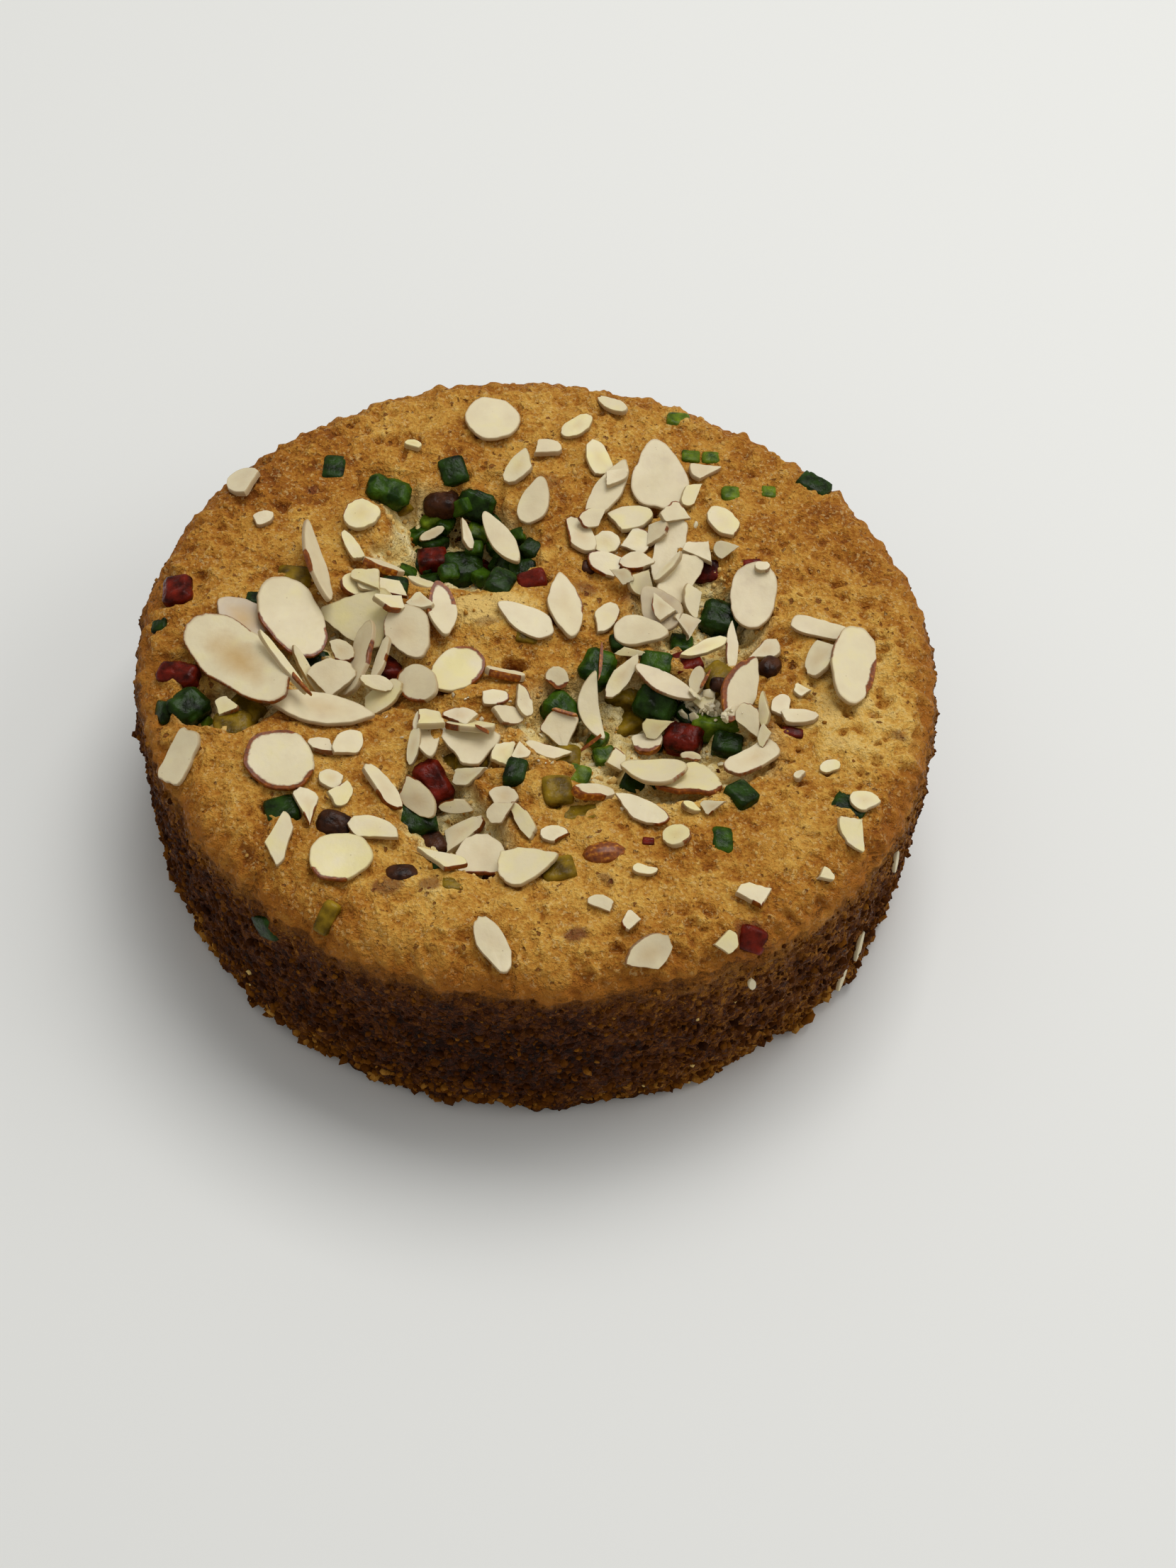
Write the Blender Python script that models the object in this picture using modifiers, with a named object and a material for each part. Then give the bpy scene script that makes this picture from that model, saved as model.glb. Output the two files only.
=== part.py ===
"""A round tea cake, whole, baked in a plain tin and topped with flaked almonds and candied fruit.

The cake is one solid with a level foot, a straight side, a rounded shoulder and an uneven top. The top
has sunk in places, and the larger pieces of candied fruit sit in pockets there. The larger almond flakes
lie loose on the crust, on the fruit and on each other. Lengths are in millimetres until MM turns them to
metres. +Z is up, the origin is the middle of the foot, and -Y is the front.
"""

import math

import bmesh
import bpy
import numpy as np
from mathutils import Matrix, Vector, noise
from mathutils.bvhtree import BVHTree

MM = 0.001

# The cake
OUTER_RADIUS = 75.4
FOOT_RADIUS = 74.3
CAKE_HEIGHT = 43.8
SHOULDER_WIDTH = 9.5
SHOULDER_DROP = 7.5
CROWN_RISE = 1.0
CROWN_RING = 56.0
CROWN_WIDTH = 14.0
TOP_RINGS = 15
SHOULDER_RINGS = 4
SIDE_LEVELS = (29.0, 22.0, 15.0, 9.0, 5.0, 2.0, 0.0)
LUMP_LENGTH = 11.0
LUMP_HEIGHT = 0.6
SIDE_LUMP_HEIGHT = 0.5

# How far the outline leaves a true circle: amount, number of lobes, direction of the first lobe
LOBES = ((0.5, 2, 135), (0.45, 3, 30), (0.3, 5, 100))

# A lump of crust that stands out at the foot: direction, level, reach, half its width, half its height
FOOT_LUMP = (-32, 3.0, 2.4, 3.2, 3.2)

# Where the top sank or rose: x, y, half length, half width, turn in degrees, depth (less than 0 is a rise)
RELIEF = (
    (-18, 28, 13, 10, -10, 9.5),
    (-10, 22, 7, 5, 0, 1.5),
    (-30, 28, 5, 4, 30, -5.0),
    (-10, 8, 9, 4, 15, -2.0),
    (-5, -3, 3, 2, -20, 3.0),
    (20, -19, 17, 12, -8, 5.5),
    (6, -14, 8, 8, 0, 1.5),
    (1, -33, 5, 3, 20, -2.0),
    (22, -43, 20, 4, 5, -0.8),
    (36, 6, 8, 11, 0, 2.5),
    (17, 16, 12, 13, 0, 2.0),
    (-38, -5, 13, 9, -40, 5.0),
    (-31, -13, 7, 6, 0, 1.5),
    (-14, -40, 12, 6, -50, 4.0),
    (-21, -48, 7, 4, 0, 1.8),
    (-7, -49, 6, 4, -10, 2.0),
    (-56, -19, 9, 6, 10, 2.5),
    (45, -24, 7, 6, 30, 1.5),
    (59, 24, 3, 3, 0, 1.0),
)

# Slices of almond: how square the outline is (2 is an oval, 1.5 a lens), and how far it narrows to one end
FLAKE_SHAPES = {
    "oval": (2.1, 0.12),
    "lens": (1.5, 0.05),
    "drop": (1.9, 0.45),
    "block": (3.6, 0.10),
    "wedge": (2.8, 0.70),
}
FLAKE_THICKNESS = 1.0
FLAKE_CORNERS = 16
FLAKE_UNEVENNESS = 0.04

# Flaked almonds, in the order in which they fell. The turn is that of the narrow end, from +X in degrees:
# shape, x, y, length, width, turn, roll about the length, curl
FLAKES = (
    ("drop", -55.5, 1.5, 12, 9, 140, 0, 0.2),
    ("lens", -39, -18.5, 21, 9, -5, 0, 0.8),
    ("wedge", -35, 5, 14, 9, 172, 0, 0.3),
    ("block", -33, -5.5, 15, 7, 78, -50, 0.4),
    ("oval", -54.5, -10, 27, 12, -42, 0, 1.0),
    ("oval", -46, 2, 17.5, 12, -52, 0, 0.5),
    ("oval", -44.5, -32, 14, 12, -55, 0, 0.3),
    ("block", -62.5, -31, 11, 6, 60, 0, 0.3),
    ("drop", -24, -0.5, 13, 8, -65, 0, 0.5),
    ("lens", -18.5, 5, 14, 6, -80, 0, 0.4),
    ("oval", -15, -8, 12, 9, 235, 0, 0.4),
    ("oval", -21.5, -12, 11, 7, -40, 0, 0.3),
    ("lens", -43, 14.5, 20, 6, 108, 50, 0.6),
    ("oval", -12, 57, 12, 11, 270, 0, 0.3),
    ("drop", -2.5, 37, 11, 6, 75, 0, 0.3),
    ("lens", -8.5, 28.5, 16, 5, -62, 0, 0.6),
    ("drop", 21.5, 45, 19, 11, 95, 0, 0.5),
    ("lens", 11.5, 39.5, 18, 6, 65, 0, 0.5),
    ("block", 24, 26.5, 16, 6, 82, 0, 0.4),
    ("block", 26, 18.5, 12, 6, 65, 0, 0.4),
    ("lens", 4.5, 9.5, 17, 7, -80, 0, 0.6),
    ("drop", -3, 5, 12, 6, 155, 0, 0.4),
    ("drop", 22, 10.5, 11, 7, 120, 0, 0.3),
    ("drop", 19, 4.5, 11, 7, -15, 0, 0.4),
    ("oval", 40, 15, 16, 9, -95, 0, 0.4),
    ("block", 52.5, 6.5, 11, 4, -20, 0, 0.2),
    ("oval", 58, -3, 19, 9, -98, 0, 0.5),
    ("lens", 37, -9.5, 15, 7, 68, 35, 0.5),
    ("lens", 23.5, -7, 13, 5, -28, 0, 0.5),
    ("lens", 11.5, -11.5, 14, 5, -80, 0, 0.7),
    ("wedge", 27.5, -29, 11, 10, -160, 0, 0.2),
    ("drop", 21.5, -26.5, 13, 9, 150, 0, 0.5),
    ("block", 39.5, -23.5, 11, 5, 215, 0, 0.3),
    ("wedge", -12.5, -24, 11.5, 7, 145, 0, 0.3),
    ("lens", -19.5, -23.5, 12, 5, -75, 0, 0.3),
    ("wedge", 0.5, -51, 11, 7, 15, 0, 0.3),
    ("oval", -32, -52, 11, 10, 15, 0, 0.3),
)

# Candied fruit in its pockets: kind, x, y, length, width, thickness, turn, height of its top over the crust
FRUIT_EDGE = 1.1
FRUIT_UNEVENNESS = 0.16
FRUIT = (
    ("green", -63, -18, 8, 7, 6, 50, 1.6),
    ("green", -31.5, 39, 10, 6, 6, -8, 1.4),
    ("green", -16, 26, 9, 8, 7, 15, 3.5),
    ("green", -6.5, 26, 8, 7, 7, -30, 3.0),
    ("green", -14, 39, 7, 8, 6, 70, 1.6),
    ("green", 34, 12.5, 8, 8, 6, 75, 1.2),
    ("green", 11, -2.5, 7, 8, 6, -20, 1.2),
    ("green", 4.5, -11.5, 8, 7, 6, -35, 1.4),
    ("green", 22, -9, 8, 7, 6, -30, 2.2),
    ("red", -68, 9, 6, 8, 6, 5, 0.8),
    ("red", -65.5, -11, 9, 5, 5, -12, 0.8),
    ("red", -17.5, -31, 9, 6, 6, -60, 1.6),
    ("red", 27.5, -15.5, 8, 6, 6, -15, 1.8),
)

GAP = 0.35
GRID_STEP = 0.5
SEED = 8

CRUST_BROWN = (0.45, 0.22, 0.07)
ALMOND_IVORY = (0.78, 0.68, 0.45)
FRUIT_COLOURS = {"green": (0.01, 0.06, 0.03), "red": (0.18, 0.01, 0.02)}


def start_scene():
    """Empties the scene and gives the two collections: the cake's pieces, and the cutters."""
    for old in list(bpy.data.objects):
        bpy.data.objects.remove(old, do_unlink=True)
    made = []
    for name in ("tea_cake", "cutters"):
        made.append(bpy.data.collections.new(name))
        bpy.context.scene.collection.children.link(made[-1])
    return made


def plain_material(name, colour, roughness):
    material = bpy.data.materials.new(name)
    material.use_nodes = True
    shader = material.node_tree.nodes["Principled BSDF"]
    shader.inputs["Base Color"].default_value = (*colour, 1.0)
    shader.inputs["Roughness"].default_value = roughness
    shader.inputs["Metallic"].default_value = 0.0
    return material


def add_object(name, bm, collection, material):
    """Turns a bmesh in millimetres into a smooth-shaded object in metres."""
    bmesh.ops.scale(bm, vec=(MM, MM, MM), verts=bm.verts)
    mesh = bpy.data.meshes.new(name)
    bm.to_mesh(mesh)
    bm.free()
    mesh.shade_smooth()
    mesh.materials.append(material)
    obj = bpy.data.objects.new(name, mesh)
    collection.objects.link(obj)
    return obj


# The cake itself


def relief_drop(x, y):
    """How far the top lies under its level at (x, y): flat-floored hollows and rises with soft walls."""
    drop = 0.0
    for centre_x, centre_y, half_length, half_width, turn, depth in RELIEF:
        cos_turn, sin_turn = math.cos(math.radians(turn)), math.sin(math.radians(turn))
        along = (x - centre_x) * cos_turn + (y - centre_y) * sin_turn
        across = (y - centre_y) * cos_turn - (x - centre_x) * sin_turn
        reach = (along / half_length) ** 2 + (across / half_width) ** 2
        drop += depth / (1.0 + reach**3)
    return drop


def outline_radius(angle):
    lobes = sum(amount * math.cos(count * (angle - math.radians(at))) for amount, count, at in LOBES)
    return OUTER_RADIUS + lobes


def disk_point(across, along):
    """Moves a point of the square from -1 to 1 onto the unit disk, so that square rings become round."""
    if across == 0.0 and along == 0.0:
        return 0.0, 0.0
    if abs(across) > abs(along):
        ring, angle = across, math.pi / 4 * along / across
    else:
        ring, angle = along, math.pi / 2 - math.pi / 4 * across / along
    return ring * math.cos(angle), ring * math.sin(angle)


def crust_point(across, along):
    """A point of the top crust and shoulder. The outer rings of the grid turn down over the shoulder."""
    disk_x, disk_y = disk_point(across, along)
    rings_out = math.hypot(disk_x, disk_y) * (TOP_RINGS + SHOULDER_RINGS)
    angle = math.atan2(disk_y, disk_x)
    outer = outline_radius(angle)
    flat = outer - SHOULDER_WIDTH
    turned = max(0.0, rings_out - TOP_RINGS) / SHOULDER_RINGS * math.pi / 2
    radius = flat * min(rings_out / TOP_RINGS, 1.0) + SHOULDER_WIDTH * math.sin(turned)
    x, y = radius * math.cos(angle), radius * math.sin(angle)
    crown = CROWN_RISE * math.exp(-(((radius - CROWN_RING) / CROWN_WIDTH) ** 2))
    lumps = LUMP_HEIGHT * noise.noise(Vector((x, y, 0.0)) / LUMP_LENGTH)
    shoulder = SHOULDER_DROP * (1.0 - math.cos(turned))
    return Vector((x, y, CAKE_HEIGHT + crown + lumps - shoulder - relief_drop(x, y)))


def side_point(x, y, level):
    """A point of the side, straight below a point of the shoulder's edge."""
    angle = math.atan2(y, x)
    lump_at, lump_level, lump_reach, lump_half_width, lump_half_height = FOOT_LUMP
    inset = (OUTER_RADIUS - FOOT_RADIUS) * (1.0 - level / (CAKE_HEIGHT - SHOULDER_DROP))
    radius = outline_radius(angle) - inset
    radius += SIDE_LUMP_HEIGHT * noise.noise(Vector((x, y, level)) / LUMP_LENGTH)
    turned = math.remainder(angle - math.radians(lump_at), math.tau)
    aside = turned * OUTER_RADIUS / lump_half_width
    above = (level - lump_level) / lump_half_height
    radius += lump_reach * math.exp(-(aside**4) - above**4)
    return Vector((radius * math.cos(angle), radius * math.sin(angle), level))


def make_cake(collection, material):
    """The top starts as a square grid drawn round. Its rim is extruded down the side, and the foot closed."""
    bm = bmesh.new()
    segments = 2 * (TOP_RINGS + SHOULDER_RINGS)
    bmesh.ops.create_grid(bm, x_segments=segments, y_segments=segments, size=1.0)
    for vert in bm.verts:
        vert.co = crust_point(vert.co.x, vert.co.y)
    rim = [edge for edge in bm.edges if edge.is_boundary]
    for level in SIDE_LEVELS:
        made = bmesh.ops.extrude_edge_only(bm, edges=rim)["geom"]
        rim = [item for item in made if isinstance(item, bmesh.types.BMEdge) and item.is_boundary]
        for vert in {vert for edge in rim for vert in edge.verts}:
            vert.co = side_point(vert.co.x, vert.co.y, level)
    bmesh.ops.contextual_create(bm, geom=rim)
    middle = [(max(values) + min(values)) / 2 for values in zip(*(vert.co.xy for vert in bm.verts))]
    bmesh.ops.translate(bm, vec=(-middle[0], -middle[1], 0.0), verts=bm.verts)
    bmesh.ops.triangulate(bm, faces=bm.faces)
    bmesh.ops.recalc_face_normals(bm, faces=bm.faces)
    return add_object("cake", bm, collection, material)


# What lies on it


def world_tree(obj):
    """A search tree of the object's finished mesh where it lies."""
    bpy.context.view_layer.update()
    evaluated = obj.evaluated_get(bpy.context.evaluated_depsgraph_get())
    mesh = evaluated.to_mesh()
    points = [obj.matrix_world @ vert.co for vert in mesh.vertices]
    faces = [tuple(face.vertices) for face in mesh.polygons]
    evaluated.to_mesh_clear()
    return BVHTree.FromPolygons(points, faces)


class Heights:
    """The highest surface at each point of a grid over the cake, as it builds up piece by piece."""

    def __init__(self, *pieces):
        reach = OUTER_RADIUS + GRID_STEP
        steps = np.arange(-reach, reach, GRID_STEP)
        self.x, self.y = np.meshgrid(steps, steps)
        self.z = np.zeros_like(self.x)
        for piece in pieces:
            self.cover(piece, self.near(0.0, 0.0, reach))

    def near(self, x, y, reach):
        """The grid points within reach of (x, y), as rows and columns."""
        return np.nonzero(np.hypot(self.x - x, self.y - y) <= reach)

    def met(self, piece, cells, going):
        """The height at which a line going down (-1) or up (1) first meets the piece, or nan."""
        tree = world_tree(piece)
        start = -going * 2 * OUTER_RADIUS * MM
        found = np.full(len(cells[0]), np.nan)
        for index, (x, y) in enumerate(zip(self.x[cells], self.y[cells])):
            hit = tree.ray_cast(Vector((x * MM, y * MM, start)), Vector((0.0, 0.0, going)))[0]
            if hit is not None:
                found[index] = hit.z / MM
        return found

    def cover(self, piece, cells):
        self.z[cells] = np.fmax(self.z[cells], self.met(piece, cells, -1))

    def under(self, x, y, length, width, turn):
        """The points of the surface under an oval, seen from its middle."""
        cells = self.near(x, y, length / 2)
        aside_x, aside_y = self.x[cells] - x, self.y[cells] - y
        along = aside_x * math.cos(turn) + aside_y * math.sin(turn)
        across = aside_y * math.cos(turn) - aside_x * math.sin(turn)
        inside = (2 * along / length) ** 2 + (2 * across / width) ** 2 <= 1.0
        return np.column_stack([aside_x, aside_y])[inside], self.z[cells][inside]


def fitted_plane(places, levels):
    """The plane through the middle of a surface: its level at the middle, and its slope."""
    table = np.column_stack([places, np.ones(len(places))])
    slope_x, slope_y, level = np.linalg.lstsq(table, levels, rcond=None)[0]
    return level, np.array((slope_x, slope_y))


def resting_plane(places, levels):
    """The plane on which a flat piece comes to rest: over every point, with its middle as low as can be."""
    slope = fitted_plane(places, levels)[1]
    lowest = (levels - places @ slope).max()
    step = 0.2
    while step > 0.005:
        for change in ((step, 0.0), (-step, 0.0), (0.0, step), (0.0, -step)):
            tried = (levels - places @ (slope + change)).max()
            if tried < lowest:
                slope, lowest = slope + change, tried
                break
        else:
            step /= 2
    return lowest, slope


def laid_matrix(x, y, level, slope, turn, roll=0.0):
    """Where a flat piece lies: its face along the slope, turned in plan, then rolled about its length."""
    normal = Vector((-slope[0], -slope[1], 1.0)).normalized()
    lengthwise = Vector((math.cos(turn), math.sin(turn), 0.0))
    lengthwise = (lengthwise - normal * lengthwise.dot(normal)).normalized()
    axes = Matrix((lengthwise, normal.cross(lengthwise), normal)).transposed().to_4x4()
    place = Matrix.Translation(Vector((x, y, level)) * MM)
    return place @ axes @ Matrix.Rotation(roll, 4, "X")


def slice_point(corner, length, width, shape):
    """Draws a point of the unit circle, or its middle, out to the slice's outline."""
    squareness, taper = FLAKE_SHAPES[shape]
    along, across = (math.copysign(abs(value) ** (2 / squareness), value) for value in corner)
    return along * length / 2, across * (1.0 - taper * along) * width / 2


def make_flake(name, row, heights, collection, material, chance):
    """A slice of almond: a fan drawn to its outline, curled, given its thickness and laid to rest."""
    shape, x, y, length, width, turn, roll, curl = row
    bm = bmesh.new()
    bmesh.ops.create_circle(bm, cap_ends=True, cap_tris=True, segments=FLAKE_CORNERS, radius=1.0)
    for vert in bm.verts:
        uneven = 1.0 + chance.uniform(-FLAKE_UNEVENNESS, FLAKE_UNEVENNESS)
        along, across = slice_point(vert.co.xy, length * uneven, width * uneven, shape)
        vert.co = (along, across, curl * (2 * along / length) ** 2)
    flake = add_object(name, bm, collection, material)
    body = flake.modifiers.new("slice", "SOLIDIFY")
    body.thickness = FLAKE_THICKNESS * MM
    body.offset = 0.0
    turn, roll = math.radians(turn), math.radians(roll)
    footprint = max(width * math.cos(roll), 2 * FLAKE_THICKNESS)
    plane = fitted_plane if roll else resting_plane
    level, slope = plane(*heights.under(x, y, length, footprint, turn))
    flake.matrix_world = laid_matrix(x, y, level + width, slope, turn, roll)
    cells = heights.near(x, y, length)
    room = np.nanmin(heights.met(flake, cells, 1) - heights.z[cells])
    flake.matrix_world = Matrix.Translation((0.0, 0.0, (GAP - room) * MM)) @ flake.matrix_world
    heights.cover(flake, cells)


def fruit_cube(size, grown, chance):
    """A chopped die with uneven corners. Its cutter is the same die, grown on all sides."""
    bm = bmesh.new()
    bmesh.ops.create_cube(bm, size=1.0)
    for vert in bm.verts:
        for axis in range(3):
            uneven = 1.0 - chance.uniform(0.0, FRUIT_UNEVENNESS)
            vert.co[axis] *= size[axis] * uneven + 2 * grown
    return bm


def make_fruit(name, row, cake, heights, collections, material, seed):
    """One die of candied fruit, and the cut that makes its pocket in the cake."""
    x, y, length, width, thickness, turn, proud = row
    turn = math.radians(turn)
    level, slope = fitted_plane(*heights.under(x, y, length, width, turn))
    place = laid_matrix(x, y, level + proud - thickness / 2, slope, turn)
    made = []
    for label, grown, collection in zip((name, f"pocket_of_{name}"), (0.0, GAP), collections):
        bm = fruit_cube((length, width, thickness), grown, np.random.default_rng(seed))
        made.append(add_object(label, bm, collection, material))
        made[-1].matrix_world = place
        edge = made[-1].modifiers.new("soft edges", "BEVEL")
        edge.width = FRUIT_EDGE * MM
        edge.segments = 1
    fruit, cutter = made
    cutter.hide_render = True
    cutter.display_type = "WIRE"
    pocket = cake.modifiers.new(cutter.name, "BOOLEAN")
    pocket.operation = "DIFFERENCE"
    pocket.object = cutter
    return fruit


def main():
    collections = start_scene()
    parts = collections[0]
    cake = make_cake(parts, plain_material("baked crust", CRUST_BROWN, 0.8))
    bare = Heights(cake)
    candied = {
        kind: plain_material(f"candied {kind} fruit", colour, 0.3) for kind, colour in FRUIT_COLOURS.items()
    }
    fruits = []
    for number, (kind, *row) in enumerate(FRUIT, 1):
        name = f"candied_{kind}_{number:02d}"
        fruits.append(make_fruit(name, row, cake, bare, collections, candied[kind], SEED + number))
    heights = Heights(cake, *fruits)
    almond = plain_material("flaked almond", ALMOND_IVORY, 0.6)
    chance = np.random.default_rng(SEED)
    for number, row in enumerate(FLAKES, 1):
        make_flake(f"almond_flake_{number:02d}", row, heights, parts, almond, chance)


main()
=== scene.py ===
"""The looks of a whole round tea cake, topped with sliced almonds and candied fruit.

Sizes are in millimetres unless a name says otherwise, and MM turns them to metres.
"""

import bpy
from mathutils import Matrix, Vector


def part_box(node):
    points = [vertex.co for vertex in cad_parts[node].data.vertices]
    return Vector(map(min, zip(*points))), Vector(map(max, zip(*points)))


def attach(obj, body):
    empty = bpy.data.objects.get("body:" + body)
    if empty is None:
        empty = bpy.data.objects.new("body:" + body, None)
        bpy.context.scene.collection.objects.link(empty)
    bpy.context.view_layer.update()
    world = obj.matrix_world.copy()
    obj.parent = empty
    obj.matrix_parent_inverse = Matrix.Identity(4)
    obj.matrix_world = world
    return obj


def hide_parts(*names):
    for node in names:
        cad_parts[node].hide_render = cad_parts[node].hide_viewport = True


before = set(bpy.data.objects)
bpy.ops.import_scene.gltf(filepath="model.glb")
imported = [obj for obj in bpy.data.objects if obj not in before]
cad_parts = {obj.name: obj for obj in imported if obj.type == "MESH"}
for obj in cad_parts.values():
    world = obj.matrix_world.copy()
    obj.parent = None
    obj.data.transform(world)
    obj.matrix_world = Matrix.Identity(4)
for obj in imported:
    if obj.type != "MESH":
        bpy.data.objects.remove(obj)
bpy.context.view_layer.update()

# ------------------------ The camera
# It looks down on the cake from the front, across a table, tipped a little to one side. It is made first
# because the small toppings are spotted from here: each is named by where it shows at the crown's level.

import math

import bpy
import numpy as np
from mathutils import Matrix, Vector

MM = 0.001
EYE_DISTANCE = 472.8
EYE_ELEVATION = 52.49
EYE_PAN = 1.37
EYE_TILT = 0.2
EYE_ROLL = 3.32
LENS_LENGTH = 54.1
NEAREST_SEEN = 10.0
CROWN_LEVEL = 43.0

eye_height = math.radians(EYE_ELEVATION)
eye_place = Vector((0.0, -math.cos(eye_height), math.sin(eye_height))) * EYE_DISTANCE
camera = bpy.data.objects.new("camera", bpy.data.cameras.new("camera"))
bpy.context.scene.collection.objects.link(camera)
bpy.context.scene.camera = camera
camera.data.lens = LENS_LENGTH
camera.data.clip_start = NEAREST_SEEN * MM
camera.matrix_world = (
    Matrix.Translation(eye_place * MM)
    @ Matrix.Rotation(math.pi / 2 - eye_height, 4, "X")
    @ Matrix.Rotation(-math.radians(EYE_PAN), 4, "Y")
    @ Matrix.Rotation(math.radians(EYE_TILT), 4, "X")
    @ Matrix.Rotation(math.radians(EYE_ROLL), 4, "Z")
)


def seen_at(x, y, surfaces):
    """What the eye meets first on its way to a place at the crown's level: the point, and how it faces."""
    way = (Vector((x, y, CROWN_LEVEL)) - eye_place).normalized()
    hits = [tree.ray_cast(eye_place, way) for tree in surfaces]
    point, normal, _, _ = min((hit for hit in hits if hit[0]), key=lambda hit: hit[3])
    return np.array(point), np.array(normal)


# ------------------------ The baked cake
# A rich butter batter, risen in a round tin and sunk again in places. The top is a thin golden crust, the
# side a dark brown coat of crumb left where the tin's paper came away, and the tears show pale crumb.

from mathutils import noise
from mathutils.bvhtree import BVHTree

# The surface is read off the plain cake in rings over the top and rows down the shoulder and the side, and
# smoothed over a few steps of that grid. The fruit's own pockets are left out of it and drawn in a little.
TOP_RINGS = 118
RING_WIDTH = 0.555
TOP_RAY_LEVEL = 10.0
SHOULDER_ROWS = 15
SHOULDER_LEVEL = 36.4
SIDE_ROWS = 30
SPARE_ROWS = 12
FACET_SPREAD = 3.0
FRUIT_MARGIN = 0.8
POCKET_DIP = 1.7

# Where the crust has torn open: x, y, half length, half width, turn
TORN_ZONES = (
    (20, -20, 24, 16, -8),
    (-4, -22, 14, 9, 10),
    (-14, -42, 9, 14, 40),
    (-20, 27, 17, 13, -10),
    (-38, -4, 15, 11, -40),
    (30, 12, 13, 15, 0),
    (-55, -19, 9, 6, 10),
)

# Where red dye has soaked into the crust: x, y, half length, half width, turn, and how much shows
RED_STAINS = (
    (-23.5, -57, 2.6, 1.7, 10, 0.7),
    (-16.5, -56, 1.8, 1.4, 0, 0.65),
    (9, -64.5, 2.0, 1.5, 20, 0.8),
    (41, -15, 3.5, 2.2, -30, 0.45),
    (30, 20, 3.5, 2.5, 0, 0.45),
    (-46, 36, 1.3, 1.1, 0, 0.7),
    (66, -17, 1.6, 1.0, 0, 0.6),
    (-10, 4, 2.5, 1.0, 10, 0.45),
    (14, -53, 1.5, 0.9, -30, 0.6),
    (-1, 42, 3.0, 2.0, 0, 0.45),
    (37, 12, 3.0, 2.0, 40, 0.45),
    (39, -62.3, 3.6, 2.8, -10, 0.85),
    (8, 16, 3.2, 2.2, 0, 0.6),
    (17.5, 15, 3.0, 2.2, 0, 0.6),
)

# Where the crust is paler or browner than the rest: x, y, half length, half width, turn, how much lighter
TONED_ZONES = (
    (60, -12, 12, 18, 0, 0.36),
    (62, 18, 9, 14, 0, 0.02),
    (-10, 8, 10, 5, 15, 0.55),
    (8, 52, 14, 8, 0, 0.1),
    (-50, 43, 18, 13, 45, -0.2),
    (-58, -40, 10, 18, 40, 0.04),
    (-30, 60, 14, 8, 10, 0.16),
    (0, -68, 20, 4, 0, 0.1),
    (50, 32, 11, 10, 0, -0.22),
    (66, -30, 6, 12, -20, -0.12),
    (-2, -58, 26, 7, 0, 0.1),
    (18, -36, 18, 5, 0, 0.22),
    (-48, -36, 8, 8, 0, 0.1),
)

# Crests and holes in the crust: x, y, half length, half width, turn, and how far it rises
CRESTS = (
    (-7, -33, 6, 4, 10, 0.9),
    (4, -28, 5.5, 1.6, 0, 1.3),
    (-0.5, -35, 2, 5, -20, 1.1),
    (-12.5, -12.5, 4.5, 2.5, 10, 1.3),
    (-7, 3, 8, 3, 0, 0.6),
    (-4.5, -3.6, 2.4, 1.3, 0, -3.0),
    (56, 19.4, 1.5, 0.9, 20, -1.3),
    (64.5, 3.5, 1.0, 0.8, 0, -1.0),
    (65, 11, 2.2, 0.8, 80, -0.8),
    (57, -12, 2.2, 1.0, -50, -0.8),
    (59.5, -17, 1.2, 0.9, 0, -0.7),
    (45.5, 7.5, 1.3, 0.8, 0, -1.0),
    (46, -14.5, 2.4, 0.9, -10, -0.8),
    (66, -20, 1.4, 0.8, 60, -0.8),
    (52, -33, 1.6, 0.8, 20, -0.6),
)

# Where the crust has stayed thin and coarse: x, y, half length, half width, turn
COARSE_ZONE = (54, -6, 26, 16, 80)

# Layers of roughness: the height of each, the size of its lumps, and where its noise starts
RAGGED_EDGE = ((1.1, 6.0, 0.0), (0.8, 2.2, 7.0))
SWELLS = ((0.55, 9.0, 33.0), (0.5, 5.0, 3.0))
BLISTERS = ((0.4, 2.8, 5.0), (0.26, 1.5, 9.0))
TORN_CRUMB = ((1.3, 2.8, 11.0), (0.8, 1.4, 13.0))
SIDE_COAT = ((0.8, 2.6, 15.0), (0.7, 1.3, 17.0))

# The crust, which has torn where it sank below its rim by more than the tear's depth
RIM_LEVEL = 44.4
CRUST_RADIUS = 71.0
CRUST_THICKNESS = 1.7
SHOULDER_START = 60.0
SHOULDER_END = 68.0
TEAR_DEPTH = 1.4
TEAR_FADE = 0.35
LIP_HEIGHT = 1.0
LIP_SPREAD = 0.25

# Its closed pits, and the bubbles that burst in it
PIT_WIDTH = 2.0
PIT_RARITY = 0.26
BURST_BUBBLES = 260
BUBBLE_SIZES = (0.7, 1.9)
BUBBLE_REACH = 3.0
BUBBLE_CLUSTER = 12.0

# The side, in degrees about the middle: painted shade darkens it at the front, and painted light makes it
# paler on the right
SHADED_FRONT_WAY = -90.0
SHADED_FRONT_SPREAD = 22.0
LIT_SIDE_WAY = -32.0
LIT_SIDE_SPREAD = (25.0, 55.0)
BROWNED_DOWN = (3.0, 8.0)
FOOT_RELIEF = 0.35

# The luck of the toppings, and that of the bubbles
chance = np.random.default_rng(5)
bubble_chance = np.random.default_rng(8)


def mesh_arrays(obj):
    """A mesh's points, in millimetres, and its triangles."""
    mesh = obj.data
    mesh.calc_loop_triangles()
    points = np.empty(len(mesh.vertices) * 3)
    mesh.vertices.foreach_get("co", points)
    triangles = np.empty(len(mesh.loop_triangles) * 3, int)
    mesh.loop_triangles.foreach_get("vertices", triangles)
    return points.reshape(-1, 3) / MM, triangles.reshape(-1, 3)


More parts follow.
